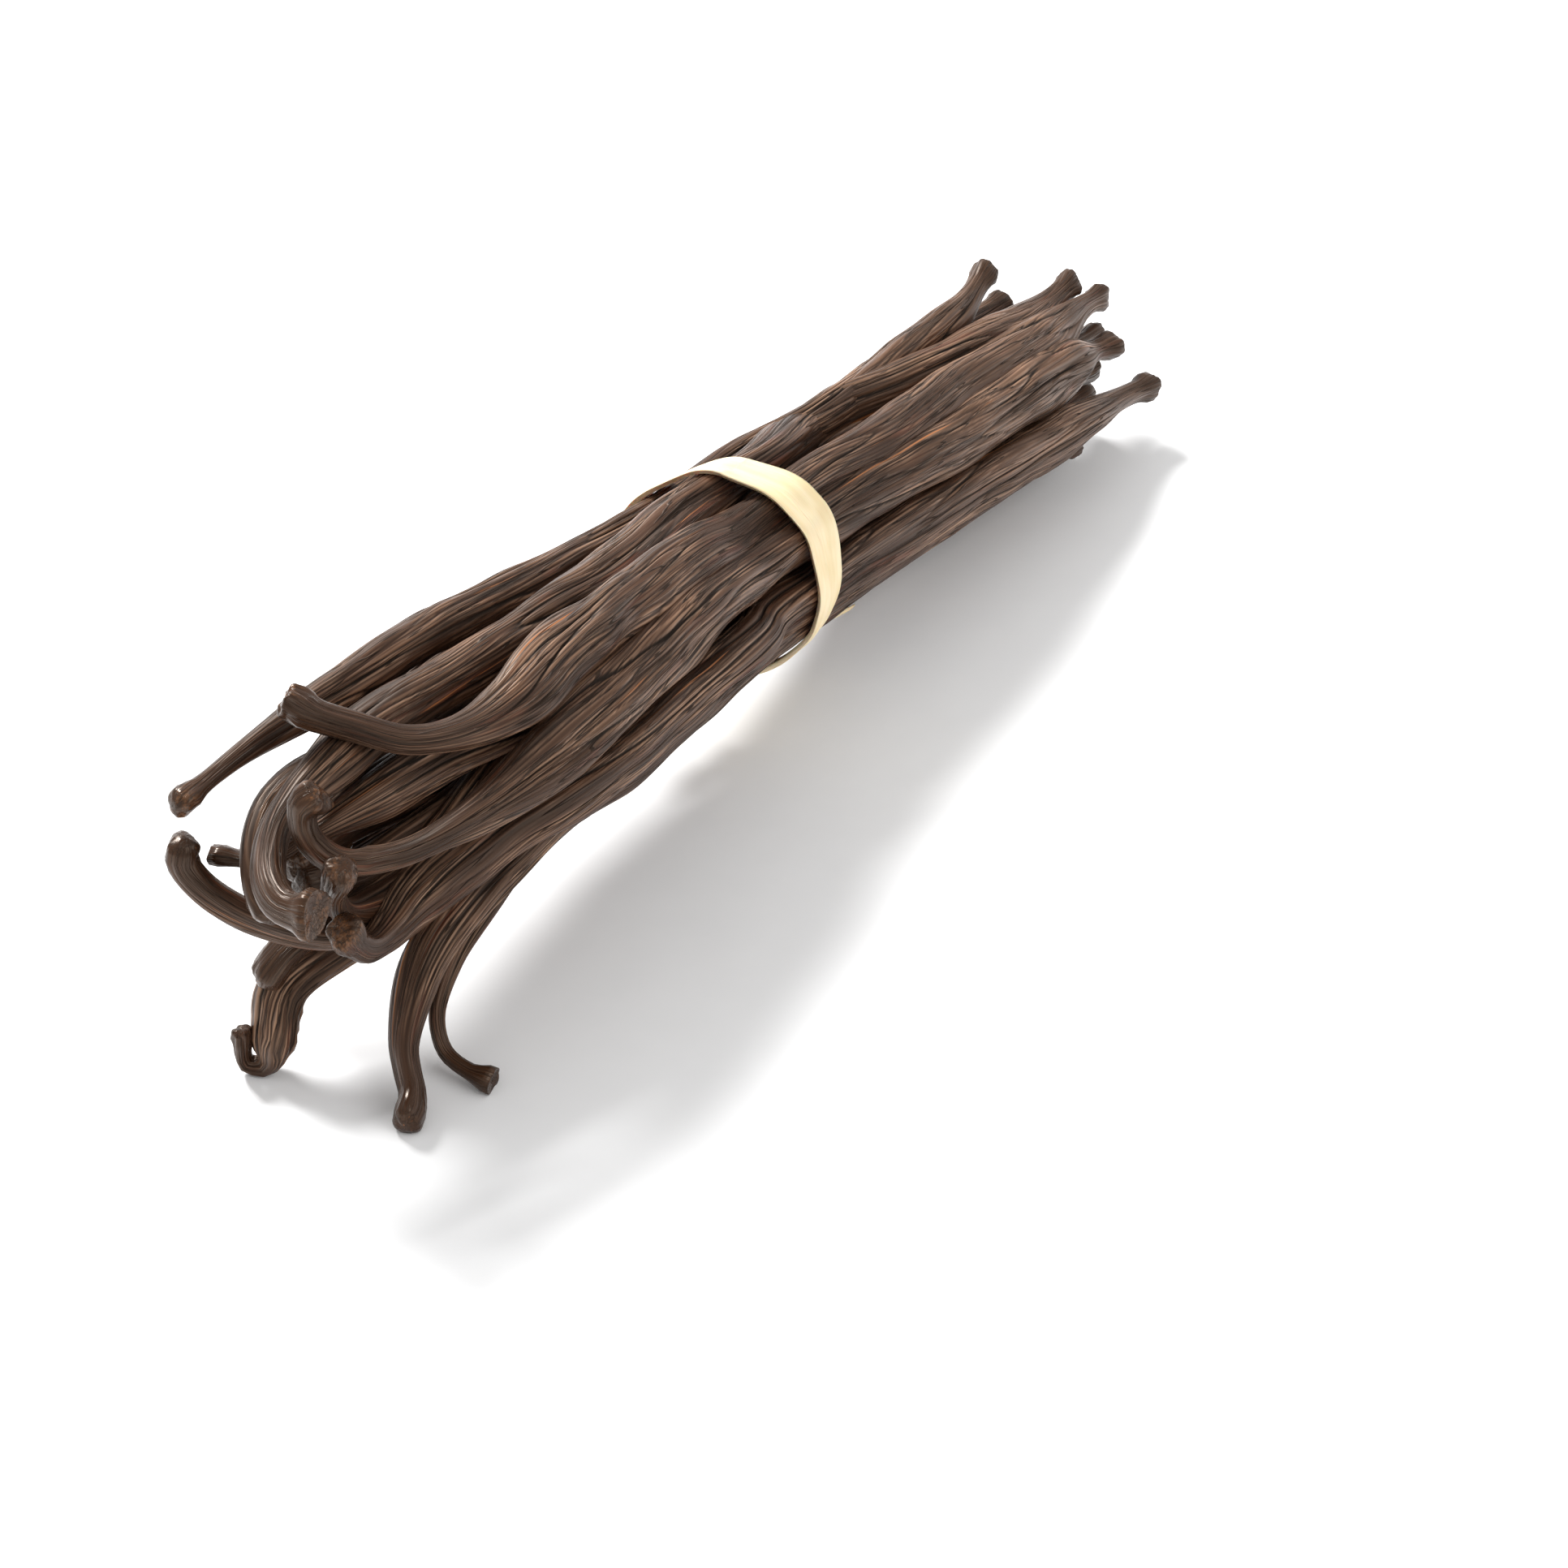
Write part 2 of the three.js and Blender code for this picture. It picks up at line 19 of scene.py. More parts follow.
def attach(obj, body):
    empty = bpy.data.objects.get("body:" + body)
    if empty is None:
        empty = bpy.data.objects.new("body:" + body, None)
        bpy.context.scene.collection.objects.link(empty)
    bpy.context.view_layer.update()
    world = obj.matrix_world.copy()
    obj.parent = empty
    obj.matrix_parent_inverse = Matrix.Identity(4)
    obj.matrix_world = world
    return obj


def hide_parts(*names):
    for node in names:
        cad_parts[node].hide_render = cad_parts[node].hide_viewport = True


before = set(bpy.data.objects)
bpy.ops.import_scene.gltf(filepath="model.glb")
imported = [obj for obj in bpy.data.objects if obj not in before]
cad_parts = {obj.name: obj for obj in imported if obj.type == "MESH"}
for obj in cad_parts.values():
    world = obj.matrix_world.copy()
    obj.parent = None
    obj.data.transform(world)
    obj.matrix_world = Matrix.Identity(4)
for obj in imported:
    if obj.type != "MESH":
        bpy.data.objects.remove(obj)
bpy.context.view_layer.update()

# %% [markdown]
# ## Units and the bundle's own axes
#
# Blender works in metres, and pods are measured in millimetres, so every size below is in
# millimetres and is turned into metres at the last step, when a mesh is made.
#
# The bundle leans: its blossom end lies on the table and its stalk end is propped up. It is
# easiest to describe in its own axes, x along it from the tie, y across it and h up from the
# middle of the pods. One function turns those into the place in the world.

# %% Sizes shared by everything
MM = 0.001
TIE_HEIGHT = 21.6
LEAN = np.radians(6)
CENTRE = (-4.8, -0.1)


def place(points):
    """Bundle coordinates x, y, h to the world's x, y, z, in millimetres."""
    x, y, h = np.moveaxis(np.asarray(points, float), -1, 0)
    return np.stack([x - CENTRE[0], y - CENTRE[1], TIE_HEIGHT - x * np.tan(LEAN) + h], axis=-1)


print("the tie's middle is at", place([0, 0, 0]), "mm")

# %% [markdown]
# ## The camera
#
# The picture looks down on the bundle from its stalk end, over the near side, through a long
# lens that keeps the pods from seeming to shrink with distance. A camera could be aimed with a
# constraint. Working its place out from the angles is clearer, because the tie then falls on a
# chosen point of the picture at a chosen scale.

# %% Camera
PICTURE_SIDE = 1932
LENS = 100.0
SENSOR = 36.0
CAMERA_TURN = np.radians(58)
CAMERA_DROP = np.radians(36)
TIE_IN_PICTURE = (913, 694)
PIXELS_PER_MM = 9.8

across = np.array([np.cos(CAMERA_TURN), -np.sin(CAMERA_TURN), 0])
level = np.array([np.sin(CAMERA_TURN), np.cos(CAMERA_TURN), 0])
upright = np.array([0, 0, 1.0])
ahead = np.cos(CAMERA_DROP) * level - np.sin(CAMERA_DROP) * upright
upward = np.sin(CAMERA_DROP) * level + np.cos(CAMERA_DROP) * upright

lens_pixels = LENS / SENSOR * PICTURE_SIDE
distance = lens_pixels / PIXELS_PER_MM
right_of_middle = (TIE_IN_PICTURE[0] - PICTURE_SIDE / 2) / lens_pixels
below_middle = (TIE_IN_PICTURE[1] - PICTURE_SIDE / 2) / lens_pixels
to_tie = ahead + right_of_middle * across - below_middle * upward
eye = place([0, 0, 0]) - distance * to_tie

camera_data = bpy.data.cameras.new("camera")
camera_data.lens = LENS
camera_data.sensor_width = SENSOR
camera_data.clip_start = 0.02
camera = bpy.data.objects.new("camera", camera_data)
bpy.context.scene.collection.objects.link(camera)
turned = Matrix([[across[i], upward[i], -ahead[i]] for i in range(3)]).to_4x4()
camera.matrix_world = Matrix.Translation(Vector(eye * MM)) @ turned
bpy.context.scene.camera = camera
print("camera", round(distance), "mm from the tie, at", np.round(eye), "mm")

# %% [markdown]
# ## Colours and nodes
#
# Colours are written as sRGB hex values, as a paint program shows them, and Blender's shaders
# want linear light, so one function does the sum. Another adds a shader node, sets it, links it
# and hands back its output. A finish is then built up as a painter does it: a ground colour, and
# coats over it, each with masks that say where it covers. Masks could be painted by hand on the
# model, but masks from noise and from the shape itself fit every pod without more work.

# %% Helpers for materials


def linear(hex_colour):
    """An sRGB colour such as "#3a2a20" as linear red, green, blue and alpha."""
    srgb = [int(hex_colour[i : i + 2], 16) / 255 for i in (1, 3, 5)]
    return (*[c / 12.92 if c < 0.04045 else ((c + 0.055) / 1.055) ** 2.4 for c in srgb], 1.0)


def add_node(tree, kind, inputs=None, out=0, **settings):
    """Adds a shader node and returns an output. Each input takes a value or another's output."""
    made = tree.nodes.new("ShaderNode" + kind)
    for name, value in settings.items():
        setattr(made, name, value)
    for name, value in (inputs or {}).items():
        if isinstance(value, bpy.types.NodeSocket):
            tree.links.new(value, made.inputs[name])
        else:
            made.inputs[name].default_value = value
    return made.outputs[out]


def cover(tree, *masks):
    """How far something covers the surface: its masks, multiplied.

    A mask is a share from 0 to 1, or a tuple: a texture's value, the values at which cover
    starts and is full, and, where they aren't 0 and 1, the least and the most.
    """
    share = None
    for mask in masks:
        if isinstance(mask, tuple):
            mask = add_node(tree, "MapRange", dict(enumerate(mask)), interpolation_type="SMOOTHSTEP")
        if share is None:
            share = mask
        else:
            share = add_node(tree, "Math", {0: share, 1: mask}, operation="MULTIPLY")
    return share


def coat(tree, under, over, *masks):
    """The colour under, with a coat of the colour over on it where its masks cover."""
    colours = {0: cover(tree, *masks), 6: under, 7: linear(over)}
    return add_node(tree, "Mix", colours, out=2, data_type="RGBA")


def material_from(name, recipe):
    """A node material with one principled shader, whose inputs the recipe makes in its tree."""
    material = bpy.data.materials.new(name)
    material.use_nodes = True
    tree = material.node_tree
    tree.nodes.clear()
    shader = add_node(tree, "BsdfPrincipled", recipe(tree))
    output = tree.nodes.new("ShaderNodeOutputMaterial")
    tree.links.new(shader, output.inputs["Surface"])
    print("material:", name, "with", len(tree.nodes), "nodes")
    return material


print("cured skin's darkest brown in linear light:", np.round(linear("#1a0b04"), 4))

# %% [markdown]
# ## The table
#
# A sheet of uncoated white paper. Pressed pulp scatters light evenly, so it has no gloss, only a
# faint cloudiness. A plane with a light shader would do for one view, but real paper also takes
# the bundle's shadow. It is stage, not part of the bundle.

# %% Table
TABLE_HALF = 3.0
# Clouds across the sheet. Real pulp clouds are finer; these are about 7 mm, which just shows.
PAPER_CLOUDS = 900.0


def matt_paper(tree):
    """Uncoated white paper: rough, and so pale that only shadows draw on it."""
    cloudy = add_node(tree, "TexNoise", {"Scale": PAPER_CLOUDS, "Detail": 3.0})
    bump = {"Height": cloudy, "Strength": 0.1, "Distance": 0.0001}
    return {
        "Base Color": coat(tree, linear("#f6f6f6"), "#fcfcfc", cloudy),
        "Roughness": 0.95,
        "Normal": add_node(tree, "Bump", bump),
    }


table_mesh = bpy.data.meshes.new("table")
corners = [(-TABLE_HALF, -TABLE_HALF, 0), (TABLE_HALF, -TABLE_HALF, 0)]
corners += [(TABLE_HALF, TABLE_HALF, 0), (-TABLE_HALF, TABLE_HALF, 0)]
table_mesh.from_pydata(corners, [], [(0, 1, 2, 3)])
table_mesh.materials.append(material_from("matt_white_paper", matt_paper))
table = bpy.data.objects.new("table", table_mesh)
bpy.context.scene.collection.objects.link(table)
print("table", 2 * TABLE_HALF, "m square")

# %% [markdown]
# ## The light
#
# Soft daylight from behind and to the left, high over the table, with white all round to fill
# the shadows. Two large area lamps and a white world give that; a sun lamp would be too hard.

# %% Lights
WORLD_STRENGTH = 0.68

bpy.context.scene.view_settings.view_transform = "Standard"
world = bpy.data.worlds.new("white_studio")
world.use_nodes = True
world.node_tree.nodes["Background"].inputs["Color"].default_value = (1, 1, 1, 1)
world.node_tree.nodes["Background"].inputs["Strength"].default_value = WORLD_STRENGTH
bpy.context.scene.world = world


def soft_box(name, to_right, to_back, height, side, power):
    """A square area lamp aimed at the tie, placed in metres as the camera sees it."""
    data = bpy.data.lights.new(name, "AREA")
    data.shape = "SQUARE"
    data.size = side
    data.energy = power
    lamp = bpy.data.objects.new(name, data)
    bpy.context.scene.collection.objects.link(lamp)
    spot = Vector(across * to_right + level * to_back + upright * height)
    lamp.matrix_world = Matrix.Translation(spot) @ spot.to_track_quat("Z", "Y").to_matrix().to_4x4()
    return lamp


soft_box("key_window", to_right=-0.55, to_back=0.75, height=0.95, side=0.45, power=32)
soft_box("fill_sheet", to_right=0.9, to_back=-0.6, height=0.8, side=0.9, power=5)

# %% [markdown]
# ## Noise for growing things
#
# Wrinkles, dents and colour all come from smooth random noise. Blender has such noise, one point
# at a time. The pods need it for hundreds of thousands of points, so a short array version is
# quicker: a random slope at every whole-number corner, eased together in between.

# %% Noise
NOISE_CORNERS = 256
SEED_STEP = 7.31
NOISE_GAIN = 1.7
shuffle = np.random.default_rng(11)
CORNER_TABLE = shuffle.permutation(NOISE_CORNERS)
CORNER_SLOPES = shuffle.normal(size=(NOISE_CORNERS, 3))
CORNER_SLOPES /= np.linalg.norm(CORNER_SLOPES, axis=1, keepdims=True)


def noise(points, seed):
    """Smooth noise, about -1 to 1, for each row of points, with features one unit across."""
    points = np.asarray(points, float) + SEED_STEP * seed
    wrap = NOISE_CORNERS - 1
    cell = np.floor(points).astype(int)
    part = points - cell
    fade = part**3 * (part * (part * 6 - 15) + 10)
    total = np.zeros(points.shape[:-1])
    for corner in np.ndindex(2, 2, 2):
        index = (cell + corner) & wrap
        first = CORNER_TABLE[index[..., 0]]
        second = CORNER_TABLE[(first + index[..., 1]) & wrap]
        slope = CORNER_SLOPES[CORNER_TABLE[(second + index[..., 2]) & wrap]]
        share = np.prod(np.where(np.array(corner) == 1, fade, 1 - fade), axis=-1)
        total += share * np.sum(slope * (part - corner), axis=-1)
    return total * NOISE_GAIN


def noise_along(t, seed):
    """The same noise along a line."""
    t = np.asarray(t, float)
    return noise(np.stack([t, 0 * t, 0 * t], axis=-1), seed)


def smooth(t):
    """0 to 1 with eased ends."""
    u = np.clip(t, 0, 1)
    return u * u * (3 - 2 * u)


def near(distance, reach, power=2):
    """1 at no distance, fading to 0 over this reach."""
    return np.exp(-((distance / reach) ** power))


print("noise at three points:", np.round(noise(np.eye(3) * 0.4, 1), 2))

# %% [markdown]
# ## Where the pods lie
#
# Every pod lies differently, and the hooks of the stalk ends are what the eye goes to first, so
# their routes are set out one by one. Each runs from the blossom tip, under the raffia, to the
# stalk. Under the raffia the pods sit in two rings round a middle one, and there the route
# follows from the pod's turn round the bundle.

# %% The pods
# turn is the place round the tie in degrees. In mm: width is the full width, neck half the stalk's,
# hook how far the stalk stays thin, taper and swell how far stalk and tip take to grow to the full
# width. end is the kind of stalk end. tips and stalk are the points of the route, as x, y, h.
POD_COLUMNS = ("name", "ring", "turn", "width", "neck", "hook", "taper", "swell", "end", "tips", "stalk")
POD_ROWS = [
    ("straight", "outer", -52, 6.2, 1.5, 4, 34, 14, "bulb",
     [(77.5, 8.9, 10.9), (66, 6.9, 9.1), (44, 5.8, 8.4), (24, 4.9, 9.1)],
     [(-31, 9, 8.3), (-51.6, 10.8, 9.3), (-64.5, 11.3, 9.2), (-83.5, 12.5, 8), (-96, 12.5, 6.5)]),
    ("thick_curl", "outer", -10, 7, 1.85, 14, 18, 18, "collar",
     [(89.5, 1.8, 6.5), (75.3, 0.8, 6.3), (61.5, 0.7, 7.4), (41.4, 2.5, 8.6), (24.7, 5.6, 8.3)],
     [(-26, 1, 10.2), (-46, 1.8, 10), (-63, 2.4, 9.8), (-74, 3.2, 9.3), (-82.7, 2.8, 8.1),
      (-87.5, 2.7, 6.9), (-91.4, 2.2, 5.4), (-94.5, 0.8, 3.8), (-97.4, -1.6, 2.6), (-99.1, -4.7, 1.9),
      (-98.9, -9.3, 2.5)]),
    ("high_hook", "outer", 28, 7.4, 1.7, 16, 20, 18, "rough",
     [(92.3, -1.4, 4.2), (84.8, -2, 5.1), (71, -3.4, 5.6), (42.5, -4.6, 8.1), (24, -5.5, 8.9)],
     [(-18.2, -5, 11.2), (-38.8, -6.4, 12), (-50.9, -7.2, 12), (-61.8, -8.1, 11.1), (-69.6, -7.1, 11),
      (-74.8, -3.5, 11.2), (-77.9, 1.4, 12.8), (-80.1, 5.2, 14.2), (-81.1, 8.3, 15.7)]),
    ("big_curl", "outer", 54, 7.6, 1.6, 20, 26, 10, "scar",
     [(86.5, -7, 0.3), (79.6, -6.3, 1.1), (66, -7.3, 3.2), (36, -9.1, 5.3)],
     [(-19.8, -9, 7.5), (-41.7, -11.4, 6.6), (-58.3, -12.6, 5.5), (-71.6, -12.5, 4.3),
      (-78, -11.6, 3.7), (-85.6, -9.3, 3.1), (-90.6, -5.4, 3.6), (-91.9, -2.6, 6.6), (-91.4, -2, 9.8),
      (-89.8, -3.7, 12.1)]),
    ("scar_hook", "outer", 98, 7.4, 1.5, 7, 16, 22, "scar",
     [(87.4, -12.7, -4.8), (79, -12, -4.1), (63, -12.1, -2.9), (36, -11.1, -1.3)],
     [(-16.6, -12, -0.4), (-33.6, -12.4, -0.7), (-48.4, -12.7, -1.9), (-58, -11.8, -2.8),
      (-67, -8.9, -4.9), (-79.5, -6.9, -7.5), (-85.4, -7.6, -8.1), (-90.2, -8.5, -7.3),
      (-93.1, -8.7, -4.5), (-94.9, -8.8, -1.5)]),
    ("droop_flat", "outer", 120, 6.4, 1.85, 8, 14, 10, "fold",
     [(69.5, -10.1, -8), (58, -8.9, -6.9), (40, -8.1, -6.2)],
     [(-27.5, -10.2, -5), (-41, -10.9, -5.8), (-52, -9.3, -6.8), (-62, -8.5, -9), (-69.5, -7.5, -12),
      (-76, -6.5, -16), (-81, -7.2, -20.2), (-84.9, -8.6, -24.3), (-86.6, -10.2, -26.6),
      (-88, -11.7, -28), (-90.3, -12.9, -29.3), (-92.2, -13.4, -29.8)]),
    ("droop_flare", "outer", 142, 5.6, 1.05, 9, 24, 16, "flare",
     [(76, -3.5, -9), (48, -4.6, -9.6)],
     [(-30, -6.1, -9.8), (-52, -5, -12), (-66, -6.3, -15.3), (-73.5, -7, -19.5), (-78.2, -8.2, -24),
      (-79.9, -10.4, -27.3), (-80.5, -13.8, -28.3), (-80, -17.5, -28.8)]),
    ("droop_leg", "outer", 167, 5.8, 1.15, 6, 6, 20, "torn",
     [(88, -0.5, -11), (66, -1, -12.6)],
     [(-30, -2.5, -12), (-58, -1.5, -12.8), (-75.5, 0, -14), (-82, 3, -16.5), (-87.5, 6, -20.5),
      (-90, 6, -25.5), (-91.2, 6.8, -30), (-92.3, 8.6, -30), (-93, 8.4, -24.5)]),
    ("stub", "outer", 194, 6, 2.1, 6, 20, 22, "round",
     [(82, 6, -11.4), (66, 5.5, -13)],
     [(-30, 3, -12), (-66, 3, -13), (-80.5, 3.5, -13.5), (-87, 5.5, -15), (-90, 7.5, -19.5)]),
    ("far_low", "outer", 222, 6.4, 1.5, 12, 26, 22, "round",
     [(86, 11, -9), (50, 9, -9.5)],
     [(-30, 8.5, -9.5), (-58, 9.5, -10.5), (-70, 10.5, -11.5), (-77, 13, -13.5), (-79, 17, -14.5)]),
    ("far_mid", "outer", 250, 6.4, 1.6, 10, 26, 22, "plain",
     [(78, 11.5, -4.5), (50, 11.5, -5)],
     [(-30, 11.5, -4.5), (-56, 12.5, -5), (-68, 12, -6.5), (-76, 8.5, -8), (-79, 4, -7)]),
    ("far_high", "outer", 278, 6.4, 1.6, 12, 26, 22, "scar",
     [(84, 9.5, 3), (50, 11, 2.5)],
     [(-30, 12.2, 1.5), (-54, 12.8, 1.5), (-66, 13, -1), (-72, 13.5, -5.5), (-72.5, 15.5, -10)]),
    ("left_hook", "inner", 160, 6.4, 1.95, 18, 20, 22, "round",
     [(84, -4, -7), (50, -3, -6.5)],
     [(-30, -3.5, -6.5), (-60, -2.5, -8.5), (-80, -4.5, -9.5), (-88.5, -1.5, -9.2), (-92.5, 4.5, -7.5),
      (-94.5, 10, -4.5), (-95.5, 12.5, -0.5), (-95, 12, 2.5)]),
    ("small_end", "inner", 330, 7, 1.5, 6, 18, 22, "cup",
     [(86, 3.5, 1.5), (50, 3, 4)],
     [(-30, 0, 6), (-54, -4.5, 5.5), (-68, -1.5, 4.5), (-77.5, 0.5, 3), (-83.5, 3, 1), (-88, 6.5, -2),
      (-90.5, 12.5, -2.5)]),
    ("upright", "inner", 30, 6.4, 1.45, 12, 14, 22, "knob",
     [(90, -2, -1), (50, -3, 3)],
     [(-30, -4, 4), (-58, -5.5, 1), (-71, -6, -3), (-76.7, -4.4, -7.5), (-83.7, -3.9, -7.1),
      (-89.2, -4.8, -4.4), (-93.2, -6.8, 1.3), (-94.2, -9.3, 6.6)]),
    ("inner_near", "inner", 90, 6.4, 2.1, 6, 24, 22, "plain",
     [(82, -6, -2), (50, -5.5, -1)],
     [(-30, -6, 0), (-58, -5, -2), (-72, -2.5, -4), (-81, 0, -5.6), (-88.3, 2.4, -4.6)]),
    ("inner_low", "inner", 210, 6.4, 2.1, 16, 20, 22, "round",
     [(80, 3, -8), (50, 3, -6)],
     [(-30, 3, -6), (-58, 5.5, -1), (-76.4, 6.8, 4.3), (-81.8, 7.1, 4.6), (-86.1, 7, 3.6),
      (-90.1, 5.8, 1.8), (-93.1, 3.9, -0.3), (-95, 1.5, -2.2), (-95.5, -0.9, -3.5)]),
    ("inner_far", "inner", 270, 6.4, 1.6, 10, 26, 22, "scar",
     [(88, 6, -3), (50, 5.5, -1)],
     [(-30, 6, -1), (-60, 7.5, -1), (-74, 7, -2.5), (-80, 3.5, -4.5)]),
    ("middle", "middle", 0, 6.6, 2.2, 6, 24, 22, "plain",
     [(84, 0, -3), (50, 0, -1)],
     [(-30, 0, 0), (-62, 2, -1.5), (-76, 4, -2), (-87.5, 4.5, -2.5)]),
]
PODS = [dict(zip(POD_COLUMNS, row)) for row in POD_ROWS]

# The tie's middle and radius, and the radius on which the inner ring of pods lies, in mm.
TIE_CENTRE = (0.5, 0.3)
TIE_RADIUS = 12.8
INNER_LANE = 5.2
LANE_STATIONS = (10, 0, -10)
LANE_SPREAD = 0.06
SPREAD_REACH = 28
# Thickness over width, and how much and how far along the tie pinches a pod.
BODY_FLATNESS = 0.8
TIP_FLATNESS = 0.97
SQUEEZE = 0.16
SQUEEZE_REACH = 17


def lane_points(pod):
    """Where the pod passes under the raffia."""
    outer = TIE_RADIUS - pod["width"] / 2 * BODY_FLATNESS * (1 - SQUEEZE)
    radius = {"outer": outer, "inner": INNER_LANE, "middle": 0}[pod["ring"]]
    turn = np.radians(pod["turn"])
    points = []
    for x in LANE_STATIONS:
        spread = radius * (1 + LANE_SPREAD * (x / SPREAD_REACH) ** 2)
        points.append((x, TIE_CENTRE[0] - spread * np.sin(turn), TIE_CENTRE[1] + spread * np.cos(turn)))
    return points


print(len(PODS), "pods")

# %% [markdown]
# ## A smooth route and a frame along it
#
# A curve object with a bevel could draw a tube along the route, but it gives no say in the
# skin. So the route is worked out as points: a centripetal Catmull-Rom curve, which passes
# through every given point without looping, measured off at even steps. Each step gets a
# direction along the pod and one out of its flat side, carried along so that it never flips.

# %% Routes
SPAN_STEPS = 40


def smooth_route(points, stations):
    """The curve through the points, at these distances from its start, and its length."""
    points = np.array(points, float)
    padded = np.vstack([2 * points[0] - points[1], points, 2 * points[-1] - points[-2]])
    u = np.linspace(0, 1, SPAN_STEPS, endpoint=False)[:, None]
    curve = []
    for a, b, c, d in zip(padded, padded[1:], padded[2:], padded[3:]):
        before, here, after = (np.linalg.norm(q - p) ** 0.5 for p, q in ((a, b), (b, c), (c, d)))
        leave = ((b - a) / before - (c - a) / (before + here) + (c - b) / here) * here
        arrive = ((c - b) / here - (d - b) / (here + after) + (d - c) / after) * here
        bend = 3 * (c - b) - 2 * leave - arrive
        curve.append(b + leave * u + bend * u**2 + (leave + arrive - 2 * (c - b)) * u**3)
    curve = np.vstack([*curve, points[-1:]])
    run = np.concatenate([[0], np.cumsum(np.linalg.norm(np.diff(curve, axis=0), axis=1))])
    if stations is None:
        return None, run[-1]
    return np.stack([np.interp(stations, run, curve[:, k]) for k in range(3)], axis=1), run[-1]


def unit(vectors):
    """The same directions, one long."""
    return vectors / np.linalg.norm(vectors, axis=-1, keepdims=True)


def carried_frame(middle, start, outward):
    """Directions along the route and out of the flat side, which faces outward at start."""
    along = unit(np.gradient(middle, axis=0))
    out = np.zeros_like(middle)
    out[start] = unit(outward - along[start] * np.dot(outward, along[start]))
    for step, stop in ((1, len(middle)), (-1, -1)):
        for k in range(start + step, stop, step):
            out[k] = unit(out[k - step] - along[k] * np.dot(out[k - step], along[k]))
    return along, out


lengths = []
for pod in PODS:
    pod["route"] = place(pod["tips"] + lane_points(pod) + pod["stalk"])
    pod["length"] = smooth_route(pod["route"], None)[1]
    lengths.append(pod["length"])
print("pods are", round(min(lengths)), "to", round(max(lengths)), "mm long")

# %% [markdown]
# ## The girth of a pod
#
# A pod swells from a thin blossom tip to its full width, wavers a little, is pinched by the
# raffia, and narrows again into the stalk. The stalk's end has its own swelling: a bulb, a
# collar where it broke from the vine, or a trumpet where it was cut. A curve's own radius could
# carry all this, but as plain sums every part keeps its size in millimetres.

# %% Girth
TIP_HALF = 1.5
TIP_REACH = 5
WAVE = 0.05
WAVE_LENGTH = 105
WAVE_SHIFT = 2.4
TIP_KNOB = dict(gain=0.5, at=1.6, spread=1.5)
# gain, at and spread size the swelling in mm. flat is thickness over width, dome and dish shape
# the cap, crumple is how far the torn skin is knocked about in mm, scar how much of it shows.
END_COLUMNS = ("gain", "at", "spread", "flat", "dome", "dish", "crumple", "scar")
END_ROWS = dict(
    bulb=(0.6, 2, 1.9, 0.75, 0.75, 0, 0.2, 1),
    collar=(1.2, 0.9, 1.3, 0.8, 0.15, 0.9, 0.22, 0.35),
    rough=(0.35, 1.6, 2.2, 0.9, 0.4, 0.2, 0.45, 0.5),
    scar=(0.75, 1.7, 1.8, 0.9, 0.5, 0.2, 0.32, 0.6),
    cup=(0.5, 0.8, 1.6, 0.6, 0.1, 0.9, 0.3, 0.1),
    flare=(0.75, 0.7, 1.6, 0.95, 0.12, 0.6, 0.15, 0.1),
    fold=(0.35, 2.2, 1.6, 0.85, 0.6, 0, 0.2, 0),
    torn=(0.25, 1.5, 1.5, 0.7, 0.4, 0.1, 0.4, 0.1),
    round=(0.15, 2, 2.5, 0.85, 0.8, 0, 0.25, 0.05),
    knob=(0.65, 1.8, 1.9, 0.9, 0.7, 0.1, 0.25, 0.45),
    plain=(0.1, 1.5, 1.5, 0.9, 0.4, 0.1, 0.3, 0.2),
)
ENDS = {kind: dict(zip(END_COLUMNS, row)) for kind, row in END_ROWS.items()}


def swelling(shape, distance):
    """What a knob or a collar adds to half the width at this distance from the pod's end."""
    return shape["gain"] * near(distance - shape["at"], shape["spread"])


def half_width(pod, index, along, x):
    """Half the pod's width at each distance along it, where x is the distance from the tie."""
    full = pod["width"] / 2
    to_end = pod["length"] - along
    from_tip = TIP_HALF + (full - TIP_HALF) * smooth((along - TIP_REACH) / pod["swell"])
    from_end = pod["neck"] + (full - pod["neck"]) * smooth((to_end - pod["hook"]) / pod["taper"])
    wave = 1 + WAVE * np.sin(2 * np.pi * along / WAVE_LENGTH + WAVE_SHIFT * index)
    squeeze = 1 - SQUEEZE * near(x, SQUEEZE_REACH)
    body = np.minimum(from_tip, from_end) * wave * squeeze
    return body + swelling(TIP_KNOB, along) + swelling(ENDS[pod["end"]], to_end)


def half_thickness(pod, half, along, slenderness):
    """Half the pod's thickness: its body is flatter than its two ends."""
    # from the pod's middle on, over a quarter of its length
    to_stalk = smooth((along / pod["length"] - 0.5) * 4)
    ends_flatness = TIP_FLATNESS + (ENDS[pod["end"]]["flat"] - TIP_FLATNESS) * to_stalk
    return half * (ends_flatness + (BODY_FLATNESS - ends_flatness) * slenderness)


print("end kinds:", sorted(ENDS))

# %% [markdown]
# ## The wrinkled skin
#
# The wrinkles are what makes a pod a pod, and they are real relief: long rounded ridges with
# sharp furrows between, a few broad folds, and finer pleats on top, all running lengthwise and
# drawing together at the neck. Bump mapping alone would leave the outline smooth. So the skin
# is a fine grid, and each point moves in or out by creased noise: the size of smooth noise is
# sharp where the noise crosses zero, and round in between, like a fold in leather.
#
# The noise is drawn round a cylinder, so it has no seam, and stretched along the pod. What it
# was worked out from is stored on the mesh as the attribute "grain", for the material to use.

